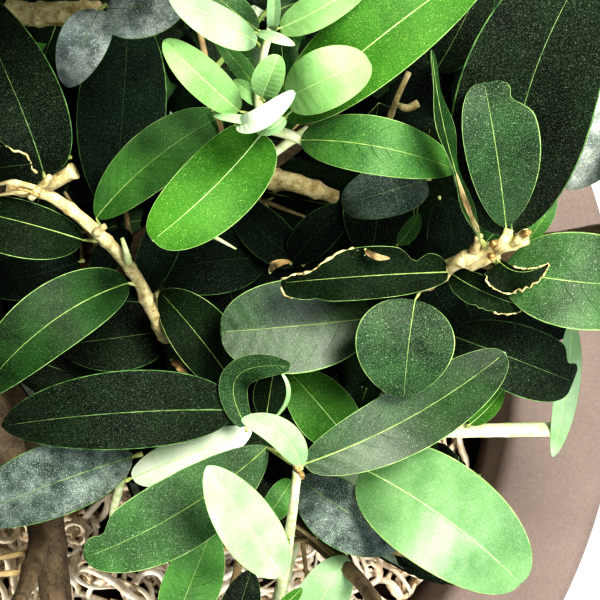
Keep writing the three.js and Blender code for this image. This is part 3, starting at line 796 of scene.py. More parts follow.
class Leaf:
    """The bent surface of one leaf. u runs from its foot to its tip, and v from its right edge to its
    left, seen from the foot."""

    def __init__(self, foot, middle, tip, halves, face=UP, widest=0.45, blunt=1.15, roll=0.0, twist=0.0,
                 fold=0.12, wave=0.0, waves=2.2, phase=0.0, ripple=0.0, bites=(), torn=0.0):
        self.foot, self.tip = np.asarray(foot, float), np.asarray(tip, float)
        self.pull = 2 * np.asarray(middle, float) - (self.foot + self.tip) / 2
        self.halves, self.face, self.widest, self.blunt = halves, np.asarray(face, float), widest, blunt
        self.roll, self.twist, self.fold = roll, twist, fold
        self.wave, self.waves, self.phase, self.ripple, self.bites = wave, waves, phase, ripple, bites
        self.torn = torn

    def outline(self, u):
        start, end = self.blunt * self.widest, self.blunt * (1 - self.widest)
        most = self.widest ** start * (1 - self.widest) ** end
        return np.maximum(np.clip(u, 0, 1) ** start * np.clip(1 - u, 0, 1) ** end / most, LEAST_WIDTH)

    def spot(self, u, v, lift=0.0):
        u, v = np.broadcast_arrays(np.asarray(u, float), np.asarray(v, float))
        t = u[..., None]
        middle = (1 - t) ** 2 * self.foot + 2 * t * (1 - t) * self.pull + t ** 2 * self.tip
        way = (1 - t) * (self.pull - self.foot) + t * (self.tip - self.pull)
        way = way / np.linalg.norm(way, axis=-1, keepdims=True)
        face = self.face - way * np.sum(way * self.face, -1, keepdims=True)
        face = face / np.linalg.norm(face, axis=-1, keepdims=True)
        left = np.cross(face, way)
        turn = (self.roll + self.twist * (u - 0.5))[..., None]
        left, face = left * np.cos(turn) + face * np.sin(turn), face * np.cos(turn) - left * np.sin(turn)
        half = np.where(v > 0, self.halves[0], self.halves[1]) * self.outline(u)
        for at, side, depth, breadth in self.bites:
            half = half * np.where(v * side > 0, 1 - depth * np.exp(-((u - at) / breadth) ** 2), 1)
        teeth = np.abs((5.3 * u + 0.6 * np.sin(11 * u) + 0.4 * (v > 0)) % 1 - 0.5) * 2
        half = half * (1 - self.torn * teeth)
        reach = np.abs(v) * half
        rise = reach * math.sin(self.fold) + lift
        waving = np.sin(2 * math.pi * self.waves * u + self.phase + EDGE_WAVE_SHIFT * (v > 0))
        rise = rise + half * self.wave * v ** 2 * waving
        slanted = u - RIPPLE_SLANT * np.abs(v) + VEIN_STAGGER * (v > 0)
        between_veins = np.cos(2 * math.pi * RIPPLES * slanted)
        rise = rise - self.ripple * between_veins * np.abs(v) ** 0.5 * (1 - v ** 2) * self.outline(u)
        outward = np.sign(v) * reach * math.cos(self.fold)
        return middle + left * outward[..., None] + face * rise[..., None]


def row_shares(rows):
    """Even shares from 0 to 1, drawn closer at both ends, where a leaf's outline turns."""
    even = np.linspace(0, 1, rows)
    return 0.35 * even + 0.65 * (0.5 - 0.5 * np.cos(math.pi * even))


def add_blade(heap, leaf, across, rows, upper, under, margin):
    """A closed thin blade. Its rings run over the upper face and back under."""
    u = row_shares(rows)[:, None]
    thick = LEAF_THICK * (1 - EDGE_THINNING * across ** 2)
    upper_side = leaf.spot(u, across[None])
    lower_side = leaf.spot(u, across[None] * 0.995, -thick[None])[:, ::-1]
    rings = np.concatenate([upper_side, lower_side], 1)
    count, ring = len(across), 2 * len(across)
    faces = grid_faces(rows, ring, True)[:, ::-1]
    column = np.arange(ring)
    slot = np.where(column < count - 1, upper, under)
    slot[[count - 1, ring - 1]] = margin
    if count > len(FAR_ACROSS):
        slot[[0, count - 2]] = margin
    step = np.arange(count - 1)
    foot_cap = np.stack([step, step + 1, ring - 2 - step, ring - 1 - step], -1)
    tip_cap = (foot_cap + (rows - 1) * ring)[:, ::-1]
    slots = np.concatenate([np.tile(slot, rows - 1), np.full(2 * len(foot_cap), margin)])
    heap.add(rings, np.concatenate([faces, foot_cap, tip_cap]), slots)


def add_rib(heap, leaf, stalk_from, radius, rows, sides, slot, stalk_rings=2, stalk_swell=1.0):
    """The stalk and the midrib that runs on from it, as one tapering tube partly sunk in the blade."""
    along = np.linspace(0, 0.7, stalk_rings)
    stalk = stalk_from + (leaf.foot - stalk_from) * along[:, None]
    u = np.linspace(0, MIDRIB_END, rows)
    radii = np.concatenate([radius * stalk_swell * (1.1 - 0.5 * along), radius * (0.42 - 0.33 * u ** 0.5)])
    rib = leaf.spot(u, 0.0 * u, -radii[stalk_rings:] * MIDRIB_SINK)
    path = np.concatenate([stalk, rib])
    points, faces = tubes(path[None], radii[None], sides)
    slots = np.full(len(faces), slot)
    slots[:stalk_rings * sides] = STALK_SLOT
    heap.add(points, faces, slots)


def add_veins(heap, leaf, slot):
    """Fine side veins that leave the midrib slanting forward and fade out short of the margin."""
    run_out = np.linspace(0, 1, VEIN_STEPS)
    paths = []
    for start in np.linspace(*VEIN_FEET, VEIN_PAIRS):
        for side in (1, -1):
            u = start + VEIN_STAGGER * side + VEIN_SLANT * run_out ** 1.25
            paths.append(leaf.spot(u, side * (0.05 + VEIN_REACH * run_out), -VEIN_SINK))
    radii = np.tile(VEIN_RADIUS * (1 - 0.75 * run_out), (len(paths), 1))
    heap.add(*tubes(np.array(paths), radii, VEIN_SIDES), slot)


def leaf_upper(name, deep, fresh, fleck, flecks, dust_and_sheen_strength, rough, shine):
    """A leaf's upper face: leathery, strewn with fine pale scales, with whitish patches that are partly
    dust and partly a painted sheen, and each leaf a tone of its own."""
    material, tree, shader = surface(f"leaf_{name}", IOR=1.45, Specular_IOR_Level=shine)
    place = put(tree, "TexCoord").outputs["Object"]
    own = put(tree, "NewGeometry").outputs["Random Per Island"]
    clouds = put(tree, "TexNoise", {"Vector": place, "Scale": scale_for(LEAF_CLOUD), "Detail": 3.0})
    shade = put(tree, "MapRange", {"Value": clouds.outputs["Fac"], "From Min": 0.33, "From Max": 0.67})
    green = put(tree, "Mix", {0: shade.outputs[0], 6: linear(deep), 7: linear(fresh)}, data_type="RGBA")
    value = put(tree, "MapRange", {"Value": own, "To Min": 0.88, "To Max": 1.1})
    varied = put(tree, "HueSaturation", {"Value": value.outputs[0], "Color": green.outputs[2]})
    dust_and_sheen_noise = put(tree, "TexNoise",
                {"Vector": place, "Scale": scale_for(DUST_AND_SHEEN_SIZE), "Detail": 5.0, "Roughness": 0.7})
    # the whitish patches: partly dust, partly a painted sheen mixed into the colour
    dust_and_sheen = put(tree, "MapRange",
               {"Value": dust_and_sheen_noise.outputs["Fac"], "From Min": 0.4, "From Max": 0.72, "To Max": dust_and_sheen_strength})
    grain = put(tree, "TexNoise", {"Vector": place, "Scale": scale_for(FLECK_SIZE), "Detail": 2.0})
    fine = put(tree, "MapRange",
               {"Value": grain.outputs["Fac"], "From Min": 0.51, "From Max": 0.7, "To Max": flecks})
    points = put(tree, "TexVoronoi", {"Vector": place, "Scale": scale_for(SPECK_SPACING)})
    coarse = put(tree, "MapRange",
                 {"Value": points.outputs["Distance"], "From Min": 0.05, "From Max": 0.11,
                  "To Min": flecks * 3.0, "To Max": 0.0})
    dots = put(tree, "Math", {0: fine.outputs[0], 1: coarse.outputs[0]}, operation="MAXIMUM")
    patchy = put(tree, "Math",
                 {0: dust_and_sheen.outputs[0], 1: grain.outputs["Fac"],
                  2: dots.outputs[0]}, operation="MULTIPLY_ADD", use_clamp=True)
    spotted = put(tree, "Mix",
                  {0: patchy.outputs[0], 6: varied.outputs[0], 7: linear(fleck)}, data_type="RGBA")
    dull = put(tree, "MapRange",
               {"Value": dust_and_sheen_noise.outputs["Fac"], "To Min": rough - 0.12, "To Max": rough + 0.2})
    bump = put(tree, "Bump", {"Strength": 0.5, "Distance": 0.12 * MM, "Height": grain.outputs["Fac"]})
    feed(tree, shader, {"Base Color": spotted.outputs[2], "Roughness": dull.outputs[0],
                        "Normal": bump.outputs[0]})
    return material


def felted(name, deep, pale, grain_size):
    """A matt skin, finely mottled: a leaf's felted underside, its margin or midrib, a green stem or torn
    wood."""
    material, tree, shader = surface(name, Roughness=0.72, IOR=1.4)
    place = put(tree, "TexCoord").outputs["Object"]
    grain = put(tree, "TexNoise", {"Vector": place, "Scale": scale_for(grain_size), "Detail": 4.0})
    share = put(tree, "MapRange", {"Value": grain.outputs["Fac"], "From Min": 0.35, "From Max": 0.65})
    colour = put(tree, "Mix", {0: share.outputs[0], 6: linear(deep), 7: linear(pale)}, data_type="RGBA")
    bump = put(tree, "Bump", {"Strength": 0.3, "Distance": 0.1 * MM, "Height": grain.outputs["Fac"]})
    feed(tree, shader, {"Base Color": colour.outputs[2], "Normal": bump.outputs[0]})
    return material


leaf_finishes = [leaf_upper(name, *tint) for name, tint in TINTS.items()]
leaf_finishes.append(felted("leaf_underside_shaded", UNDERSIDE_SHADED_DEEP, UNDERSIDE_SHADED_PALE, FELT_GRAIN))
leaf_finishes.append(felted("leaf_margin", MARGIN_GREEN, MARGIN_PALE, MARGIN_GRAIN))
leaf_finishes.append(felted("leaf_margin_shaded", MARGIN_SHADED_DEEP, MARGIN_SHADED_PALE, MARGIN_GRAIN))
TINT_SLOTS = {name: index for index, name in enumerate(TINTS)}
UNDERSIDE_SLOT = len(TINTS)
DULL_TINTS = {"shaded", "dark", "dusty", "clouded", "frosted"}
MARGIN_SLOTS = {name: UNDERSIDE_SLOT + (2 if name in DULL_TINTS else 1) for name in TINTS}
RIB_COLOURS = {
    "midrib_dark": ("#182a16", "#2f4a28"),
    "midrib_shaded": ("#4a6b3c", "#7f9a62"),
    "midrib_green": ("#7c9a50", "#a9bf78"),
    "midrib_pale": ("#a9c97c", "#d0e4ae"),
    "vein_dark": ("#050f06", "#11260f"),
    "vein_shaded": ("#0f2415", "#243d27"),
    "vein_green": ("#1d4a1c", "#35642f"),
    "vein_pale": ("#5f9a3a", "#86ba5c"),
    "leaf_stalk": ("#98a35a", "#cdd394"),
}
rib_finishes = [felted(name, deep, pale, RIB_GRAIN) for name, (deep, pale) in RIB_COLOURS.items()]
RIB_SHARERS = [
    ("shaded",),
    ("dark", "dusty", "clouded", "frosted", "dry"),
    ("stippled", "glossed", "silvered", "deep", "full", "mid"),
    ("bright", "bloomed", "young", "pale", "white"),
]
RIB_SLOTS = {name: slot for slot, names in enumerate(RIB_SHARERS) for name in names}
VEIN_SHIFT = 4
STALK_SLOT = 8
VEINED_TINTS = {"stippled", "glossed", "silvered", "full", "mid"}

# The photographed shoots. These are the leaves and twigs on the crown's right side that the view looks
# down on, each placed at its pixels and at a height over the rim that suits what it covers.
NEAR_RIPPLE = 0.36
NEAR_RIB = {"rows": 22, "sides": 6, "stalk_rings": 3, "stalk_swell": 1.15}
NEAR_RIB_LEAST = 0.28
NEAR_RIB_GROWTH = 0.0075
VEINED_FROM = 22
NEAR_STALK = 0.06
DRIED_STEPS = 70
DRIED_LIFT = 0.15
DRIED_RADIUS = 0.2
DRIED_SIDES = 5
LIMB_SAMPLES = 60
LOWER_LIMB_GAIN = 12
TWIG_SIDES = 18
TWIG_RING_SPACING = 0.9
TWIG_BLOTCH = 3
TWIG_BARK = {"dark": "#94804a", "pale": "#ece2b4", "pore": "#5e3f20"}
GREEN_TWIG = {"deep": "#bfcd90", "pale": "#e3e8c6", "grain_size": 2.5}
TORN_WOOD = {"deep": "#6a5230", "pale": "#c6a970", "grain_size": 0.6}
WOODY, FRESH, TORN = 0, 1, 2
TWIG_FINENESS = 2.6
COVER_CELL = 8
COVER_MARGIN = 16
near_leaves = Joined()
near_ribs = Joined()
near_wood = Joined()


def cover_cell(pixel):
    return ((pixel + COVER_MARGIN) / COVER_CELL).astype(int)


cover_cells = cover_cell(np.array([PICTURE_SIDE + COVER_MARGIN]))[0] + 1
shoots_over = np.full((cover_cells, cover_cells), np.inf)


def in_view(px, py):
    """Which pixels lie in the picture, or past its edges by no more than the margin."""
    low, high = -COVER_MARGIN, PICTURE_SIDE + COVER_MARGIN
    return (px > low) & (px < high) & (py > low) & (py < high)


def note_cover(leaf):
    """Keeps how low the photographed leaves hang over each small square of the picture."""
    spots = leaf.spot(np.linspace(0.02, 0.98, 40)[:, None], np.linspace(-1, 1, 25)[None]).reshape(-1, 3)
    px, py = pixel_of(spots.T)
    framed = in_view(px, py)
    cells = (cover_cell(py[framed]), cover_cell(px[framed]))
    np.minimum.at(shoots_over, cells, spots[framed, 2] - RIM_TOP)


def near_leaf(foot, middle, tip, heights, halves, tint, stalk=None, dried=(), **shape):
    """A leaf at pixels of the picture. heights are over the rim at its foot, middle and tip. halves are
    the breadths in pixels of its left and right half, and dried its dry edges."""
    places = [seen(*pixel, height) for pixel, height in zip((foot, middle, tip), heights)]
    scale = pixel_size(heights[1])
    leaf = Leaf(*places, [half * scale for half in halves], ripple=NEAR_RIPPLE, **shape)
    rows = SHADED_ROWS if tint == "shaded" else NEAR_ROWS
    add_blade(near_leaves, leaf, NEAR_ACROSS, rows, TINT_SLOTS[tint], UNDERSIDE_SLOT, MARGIN_SLOTS[tint])
    note_cover(leaf)
    length = np.linalg.norm(places[2] - places[0])
    if stalk is None:
        from_twig = leaf.foot - unit(places[1] - places[0]) * length * NEAR_STALK
    else:
        from_twig = seen(*stalk)
    radius = NEAR_RIB_LEAST + NEAR_RIB_GROWTH * length
    add_rib(near_ribs, leaf, from_twig, radius, slot=RIB_SLOTS[tint], **NEAR_RIB)
    if length > VEINED_FROM and tint in VEINED_TINTS:
        add_veins(near_ribs, leaf, RIB_SLOTS[tint] + VEIN_SHIFT)
    for edge in dried:
        dried_edge(leaf, *edge)


def dried_edge(leaf, side, start, end, radius=DRIED_RADIUS):
    """The dry, pale, crinkled rim of a torn leaf, along one side between two shares of its length."""
    u = np.linspace(start, end, DRIED_STEPS)
    crinkle = 0.3 * np.sin(61 * u) + 0.2 * np.sin(143 * u + 0.7)
    path = leaf.spot(u, side * (1 + 0.05 * crinkle), DRIED_LIFT + crinkle)
    swelling = 1 + 0.35 * np.sin(37 * u + 1.1) + 0.25 * np.sin(91 * u)
    near_wood.add(*tubes(path[None], radius * swelling[None], DRIED_SIDES), WOODY)


def near_twig(stops, widths, slot, to_wood=False, relief=1.0, seed=0.5):
    """A twig through stops of two pixels and a height, with its breadth in pixels at both ends. It runs
    on down to the nearest limb where that is asked for."""
    places = [seen(*stop) for stop in stops]
    scales = [pixel_size(stop[2]) for stop in (stops[0], stops[-1])]
    first, last = (width * scale / 2 for width, scale in zip(widths, scales))
    if to_wood:
        apart = np.linalg.norm(limb_samples - places[-1] + UP * LOWER_LIMB_GAIN, axis=1)
        near = limb_samples[np.argmin(apart)]
        places += [places[-1] * 0.45 + near * 0.55, near]
    way = Way(places)
    add_limb(near_wood, even_places(way, 0, 1, TWIG_RING_SPACING), TWIG_SIDES,
             lambda share, angle: first + (last - first) * share, seed, slot, relief, TWIG_FINENESS)


def lay(twigs, leaves):
    """Makes a shoot's twigs and then its leaves. A row may end with what is its own about the shape."""
    for make, rows in ((near_twig, twigs), (near_leaf, leaves)):
        for row in rows:
            own = row[-1] if isinstance(row[-1], dict) else {}
            make(*row[:len(row) - bool(own)], **own)


limb_shares = np.linspace(0.12, 1, LIMB_SAMPLES)
limb_samples = np.concatenate([mass["way"].at(limb_shares) for mass in MASSES.values()])

# the far left shoot, on an old twig whose end is broken off
FAR_LEFT_SHOOT = {
    "twigs": [
        ([(6, 188, 172), (50, 196, 170), (100, 235, 166), (122, 258, 160), (139, 282, 152),
         (152, 312, 142), (166, 338, 128)], (12, 13), WOODY,
         dict(to_wood=True, relief=1.8)),
    ],
    "leaves": [
        ((43, 171), (16, 96), (-35, -15), (176, 186, 170), (36, 46), "dark",
         dict(stalk=(48, 192, 170), fold=0.16, bites=[(0.13, 1, 0.62, 0.12)],
              dried=[(1, 0.01, 0.27, 0.25)])),
        ((83, 240), (10, 219), (-60, 205), (162, 170, 160), (36, 22), "deep",
         dict(stalk=(98, 240, 165), fold=0.1)),
        ((128, 283), (46, 326), (-25, 400), (154, 168, 158), (33, 36), "full",
         dict(stalk=(138, 284, 152), fold=0.18)),
        ((96, 218), (152, 161), (221, 116), (157, 167, 162), (30, 30), "mid",
         dict(stalk=(104, 236, 164), widest=0.55, fold=0.24)),
        ((128, 15), (122, 120), (112, 214), (112, 124, 116), (44, 46), "shaded", dict(fold=0.05)),
        ((170, 330), (115, 338), (58, 345), (120, 130, 122), (34, 36), "dark", dict(fold=0.1)),
        ((78, 262), (30, 276), (-25, 284), (122, 128, 120), (24, 26), "shaded"),
        ((128, 230), (110, 254), (92, 284), (118, 123, 118), (15, 16), "shaded"),
        ((178, 212), (158, 252), (142, 300), (122, 128, 120), (20, 20), "shaded"),
        ((60, 300), (96, 300), (138, 292), (116, 121, 116), (16, 16), "shaded"),
        ((300, 262), (262, 232), (232, 196), (118, 124, 118), (22, 24), "shaded"),
        ((292, 262), (318, 232), (352, 206), (120, 128, 120), (20, 20), "shaded"),
        ((266, 258), (208, 262), (150, 276), (116, 124, 118), (34, 36), "shaded"),
        ((66, 158), (22, 165), (-30, 170), (130, 134, 130), (20, 24), "dark"),
    ],
}

# the dusty pair at the top left, and the old wood behind them
DUSTY_PAIR = {
    "twigs": [
        ([(-20, 10, 140), (40, 14, 142), (100, 12, 146)], (26, 22), WOODY, dict(relief=1.5)),
    ],
    "leaves": [
        ((99, 10), (82, 44), (63, 84), (166, 172, 160), (26, 25), "frosted",
         dict(stalk=(106, 5, 164), blunt=0.95)),
        ((108, 8), (142, 6), (182, -6), (166, 172, 166), (30, 33), "frosted",
         dict(stalk=(106, 5, 164), blunt=0.9)),
    ],
}

# the young shoot at the top
YOUNG_SHOOT = {
    "twigs": [
        ([(274, -20, 214), (270, 30, 210), (262, 62, 206), (258, 100, 200), (263, 130, 190),
         (262, 160, 160)], (7, 10), FRESH,
         dict(to_wood=True, relief=0.4)),
        ([(304, 141, 190), (284, 133, 193), (260, 126, 196)], (10, 12), FRESH, dict(relief=0.4)),
    ],
    "leaves": [
        ((262, 133), (212, 189), (153, 240), (200, 193, 203), (42, 39), "bright",
         dict(stalk=(262, 126, 192), fold=-0.22, blunt=0.85)),
        ((239, 111), (200, 76), (164, 40), (204, 214, 212), (20, 21), "young",
         dict(stalk=(256, 116, 196), fold=0.3)),
        ((257, 42), (214, 18), (168, -8), (208, 218, 222), (23, 15), "pale",
         dict(stalk=(264, 52, 205), fold=0.2)),
        ((258, 30), (228, 6), (195, -25), (198, 204, 204), (17, 16), "silvered"),
        ((262, 98), (240, 66), (214, 38), (188, 194, 194), (10, 10), "mid"),
        ((257, 33), (276, 38), (295, 45), (214, 218, 216), (6, 6), "pale", dict(fold=0.3)),
        ((262, 97), (270, 76), (279, 55), (212, 218, 220), (17, 16), "young", dict(fold=0.28, blunt=0.95)),
        ((262, 104), (248, 92), (233, 80), (196, 200, 198), (9, 9), "young", dict(fold=0.2)),
        ((238, 124), (262, 117), (294, 91), (208, 214, 212), (11, 13), "white", dict(fold=0.4, blunt=0.9)),
        ((262, 122), (238, 119), (213, 116), (204, 210, 208), (5, 5), "pale", dict(fold=0.4)),
        ((285, 118), (272, 128), (256, 131), (202, 203, 200), (8, 8), "pale", dict(fold=0.5)),
        ((272, 30), (274, 8), (272, -30), (214, 222, 226), (8, 8), "pale", dict(fold=0.5)),
        ((301, 140), (380, 147), (457, 170), (192, 202, 190), (30, 29), "mid",
         dict(stalk=(294, 137, 191), fold=0.1)),
        ((285, 117), (388, 31), (500, -50), (194, 212, 200), (45, 42), "bright",
         dict(stalk=(270, 126, 192), fold=0.16)),
        ((287, 98), (328, 78), (369, 60), (204, 216, 212), (31, 31), "young",
         dict(stalk=(264, 108, 200), fold=0.14, blunt=0.95)),
        ((213, 112), (222, 132), (212, 150), (166, 166, 164), (2, 3), "dry"),
        ((280, 28), (325, 6), (378, -28), (208, 216, 216), (18, 20), "young",
         dict(stalk=(270, 30, 210), fold=0.25)),
    ],
}

# the worn shoot at the right, on a stout knobbly twig
WORN_SHOOT = {
    "twigs": [
        ([(526, 238, 166), (500, 246, 168), (480, 252, 167), (446, 268, 162), (420, 285, 140)], (15, 14),
         WOODY,
         dict(to_wood=True, relief=1.6)),
        ([(496, 250, 168), (504, 240, 172), (510, 229, 173)], (13, 8), WOODY, dict(relief=2.0, seed=3.5)),
        ([(512, 244, 168), (520, 238, 172), (528, 230, 172)], (10, 9), WOODY, dict(relief=2.4, seed=5.5)),
        ([(474, 250, 168), (478, 243, 172), (478, 236, 173)], (10, 6), WOODY, dict(relief=2.0, seed=6.5)),
        ([(450, 266, 164), (456, 262, 168), (464, 262, 170)], (8, 11), WOODY, dict(relief=2.0, seed=7.5)),
        ([(491, 256, 170), (492, 257, 173), (493, 258, 175)], (8, 6), TORN, dict(relief=2.0, seed=8.5)),
        ([(493, 244, 172), (494, 243, 175), (495, 242, 176)], (7, 5), TORN, dict(relief=2.0, seed=9.5)),
        ([(524, 234, 174), (527, 233, 176), (529, 232, 177)], (7, 6), TORN, dict(relief=2.0, seed=1.5)),
    ],
    "leaves": [
        ((448, 272), (366, 276), (281, 283), (164, 170, 166), (24, 30), "deep",
         dict(stalk=(462, 262, 165), blunt=0.7, widest=0.55, wave=0.2, waves=3.0,
              bites=[(0.2, -1, 0.5, 0.05), (0.86, -1, 0.7, 0.17), (0.97, -1, 0.5, 0.04),
                     (0.8, 1, 0.12, 0.04)],
              dried=[(-1, 0.56, 0.995, 0.3), (1, 0.93, 0.999, 0.3)])),
        ((506, 227), (497, 155), (484, 82), (176, 196, 200), (33, 45), "stippled",
         dict(stalk=(500, 244, 168), fold=0.2, widest=0.6, blunt=1.1, bites=[(0.86, -1, 0.35, 0.07)])),
        ((512, 234), (528, 92), (604, -60), (172, 194, 200), (71, 70), "dark",
         dict(stalk=(508, 244, 168), fold=0.12)),
        ((480, 238), (449, 148), (432, 50), (176, 206, 214), (14, 14), "full",
         dict(stalk=(486, 248, 168), roll=0.95, wave=0.25)),
        ((480, 234), (468, 208), (456, 172), (184, 200, 208), (3.5, 3), "dry", dict(wave=0.9, torn=0.3)),
        ((505, 270), (590, 283), (682, 286), (158, 164, 150), (50, 48), "silvered",
         dict(stalk=(490, 256, 165), fold=0.1)),
        ((500, 262), (522, 272), (549, 263), (164, 168, 168), (5, 26), "deep",
         dict(stalk=(492, 254, 166), fold=0.2, widest=0.2, wave=0.2, torn=0.2,
              dried=[(-1, 0.1, 0.98), (1, 0.3, 0.98)])),
        ((452, 274), (484, 292), (522, 306), (158, 162, 158), (17, 18), "deep",
         dict(stalk=(454, 266, 162), fold=0.15, torn=0.15, wave=0.1, blunt=0.85,
              dried=[(1, 0.55, 0.98), (-1, 0.7, 0.98)])),
        ((450, 335), (512, 358), (573, 382), (132, 142, 132), (36, 34), "dark",
         dict(widest=0.6, blunt=0.9, bites=[(0.9, 1, 0.4, 0.05)])),
        ((528, 241), (542, 220), (556, 199), (158, 160, 160), (10, 10), "mid"),
        ((634, 106), (598, 148), (562, 188), (140, 144, 138), (27, 26), "frosted"),
        ((572, 322), (566, 392), (553, 457), (128, 126, 112), (13, 13), "pale", dict(fold=0.3)),
    ],
}

# the leaves in the middle, between the shoots
MIDDLE_LEAVES = {
    "twigs": [],
    "leaves": [
        ((415, 300), (408, 350), (404, 399), (168, 169, 162), (46, 54), "stippled",
         dict(stalk=(424, 284, 158), blunt=1.25, widest=0.42, fold=0.08)),
        ((372, 318), (296, 326), (220, 332), (150, 153, 154), (48, 48), "glossed",
         dict(stalk=(390, 308, 144), widest=0.52, blunt=0.95, fold=0.18)),
        ((426, 180), (386, 192), (342, 205), (154, 160, 154), (26, 28), "dusty", dict(blunt=0.85)),
        ((380, 172), (378, 214), (370, 257), (122, 128, 122), (36, 36), "dark"),
        ((440, 200), (452, 240), (430, 262), (126, 130, 122), (26, 26), "shaded"),
        ((470, 330), (440, 300), (432, 272), (122, 128, 124), (20, 20), "shaded"),
        ((398, 244), (410, 230), (419, 213), (140, 142, 142), (8, 9), "mid"),
        ((238, 390), (200, 338), (160, 292), (132, 142, 138), (28, 34), "deep"),
        ((350, 442), (322, 408), (288, 370), (126, 136, 134), (31, 30), "bright"),
        ((246, 426), (237, 377), (291, 367), (150, 157, 165), (15, 15), "stippled",
         dict(blunt=0.7, fold=0.1)),
        ((266, 418), (270, 393), (274, 368), (142, 144, 146), (17, 17), "deep", dict(fold=-0.2)),
        ((272, 420), (288, 394), (277, 368), (152, 160, 162), (2, 3), "pale", dict(roll=0.5)),
        ((436, 70), (462, 24), (486, -30), (146, 152, 150), (27, 27), "dark"),
        ((462, 60), (500, 14), (530, -40), (122, 128, 124), (26, 26), "shaded"),
    ],
}

# dead stubs and chips that lodge among the leaves
DEAD_WOOD = {
    "twigs": [
        ([(262, 178, 118), (300, 184, 122), (336, 198, 118)], (22, 14), WOODY, dict(relief=2.2)),
        ([(36, 192, 166), (58, 180, 174), (74, 171, 176)], (11, 15), WOODY, dict(relief=1.5)),
        ([(388, 122, 150), (398, 96, 158), (409, 72, 160)], (7, 5), WOODY, dict(relief=1.5)),
        ([(396, 104, 158), (408, 108, 162), (418, 103, 162)], (5, 8), WOODY, dict(relief=1.5)),
        ([(204, 232, 150), (220, 240, 154), (236, 249, 152)], (6, 2), FRESH),
        ([(291, 461, 174), (297, 468, 174), (301, 476, 170)], (4, 7), TORN, dict(relief=2.0, seed=2.5)),
        ([(-6, 186, 173), (14, 182, 177), (36, 188, 174)], (3, 6), WOODY, dict(relief=2.0, seed=2.5)),
        ([(-4, 196, 171), (12, 193, 174), (32, 192, 173)], (2, 6), WOODY, dict(relief=2.0, seed=4.5)),
        ([(8, 188, 177), (24, 190, 177), (40, 196, 175)], (2, 4), TORN, dict(relief=2.0, seed=4.5)),
        ([(30, 198, 174), (44, 184, 176), (50, 176, 178)], (9, 5), WOODY, dict(relief=2.0, seed=5.5)),
        ([(96, 233, 171), (101, 229, 173), (105, 226, 174)], (9, 6), WOODY, dict(relief=2.0, seed=6.5)),
        ([(128, 262, 162), (126, 250, 166), (122, 238, 166)], (9, 4), FRESH, dict(seed=3.5)),
    ],
    "leaves": [
        ((172, 360), (180, 366), (188, 377), (134, 138, 136), (4, 5), "dry", dict(wave=0.4)),
        ((270, 272), (276, 264), (291, 262), (164, 172, 170), (4, 4), "dry", dict(wave=0.6)),
        ((366, 250), (376, 256), (390, 258), (172, 176, 174), (3, 4), "dry", dict(wave=0.6)),
    ],
}

# the lower shoot, on a pale green stem that leans in from below
LOWER_SHOOT = {
    "twigs": [
        ([(297, 470, 172), (294, 500, 166), (290, 530, 150), (285, 566, 125), (277, 606, 92)], (9, 13),
         FRESH,
         dict(to_wood=True, relief=0.5)),
    ],
    "leaves": [
        ((304, 464), (409, 418), (505, 353), (163, 155, 165), (34, 35), "glossed",
         dict(stalk=(298, 468, 171), fold=0.16, blunt=0.9, widest=0.52)),
        ((300, 466), (281, 434), (241, 420), (174, 184, 184), (15, 16), "pale", dict(fold=0.2)),
        ((282, 576), (246, 520), (207, 466), (170, 178, 184), (32, 29), "pale",
         dict(stalk=(288, 540, 150), fold=0.2)),
        ((267, 447), (182, 511), (84, 558), (154, 157, 156), (39, 38), "silvered",
         dict(stalk=(292, 462, 168), widest=0.55, bites=[(0.88, -1, 0.4, 0.05)])),
        ((362, 468), (446, 519), (521, 584), (134, 146, 138), (57, 55), "bloomed",
         dict(fold=0.24, blunt=0.95)),
        ((300, 480), (352, 515), (402, 546), (128, 134, 128), (28, 38), "clouded"),
        ((332, 462), (356, 494), (390, 540), (120, 125, 120), (17, 17), "white"),
        ((292, 480), (278, 502), (261, 526), (146, 150, 146), (15, 14), "mid"),
        ((305, 625), (326, 592), (346, 556), (110, 118, 116), (26, 25), "pale"),
        ((172, 632), (192, 580), (213, 529), (126, 136, 134), (28, 31), "mid"),
        ((228, 640), (240, 606), (251, 570), (112, 118, 118), (20, 20), "dark"),
        ((276, 612), (290, 600), (302, 588), (140, 142, 142), (7, 7), "bright"),
    ],
}

# the left middle, and the two low leaves on their pale stalk
LEFT_MIDDLE = {
    "twigs": [
        ([(129, 456, 140), (121, 482, 128), (114, 520, 104), (126, 545, 88), (160, 520, 76),
         (185, 490, 70)], (9, 8), FRESH,
         dict(to_wood=True, relief=0.4)),
    ],
    "leaves": [
        ((235, 410), (119, 413), (2, 426), (148, 162, 150), (37, 43), "dark",
         dict(stalk=(262, 420, 150), fold=0.15)),
        ((132, 457), (46, 486), (-35, 520), (142, 150, 138), (34, 40), "clouded", dict(fold=0.1)),
        ((132, 478), (190, 454), (252, 430), (136, 142, 138), (20, 24), "white", dict(fold=0.12)),
    ],
}

# the stub with the bright leaf, over the rim
RIM_STUB = {
    "twigs": [
        ([(562, 429, 116), (505, 430, 120), (448, 431, 122), (410, 430, 118)], (15, 10), FRESH,
         dict(to_wood=True, relief=0.5)),
    ],
    "leaves": [
        ((470, 424), (488, 408), (504, 388), (126, 132, 134), (11, 10), "bright"),
    ],
}

for shoot in (FAR_LEFT_SHOOT, DUSTY_PAIR, YOUNG_SHOOT, WORN_SHOOT, MIDDLE_LEAVES, DEAD_WOOD, LOWER_SHOOT,
              LEFT_MIDDLE, RIM_STUB):
    lay(**shoot)

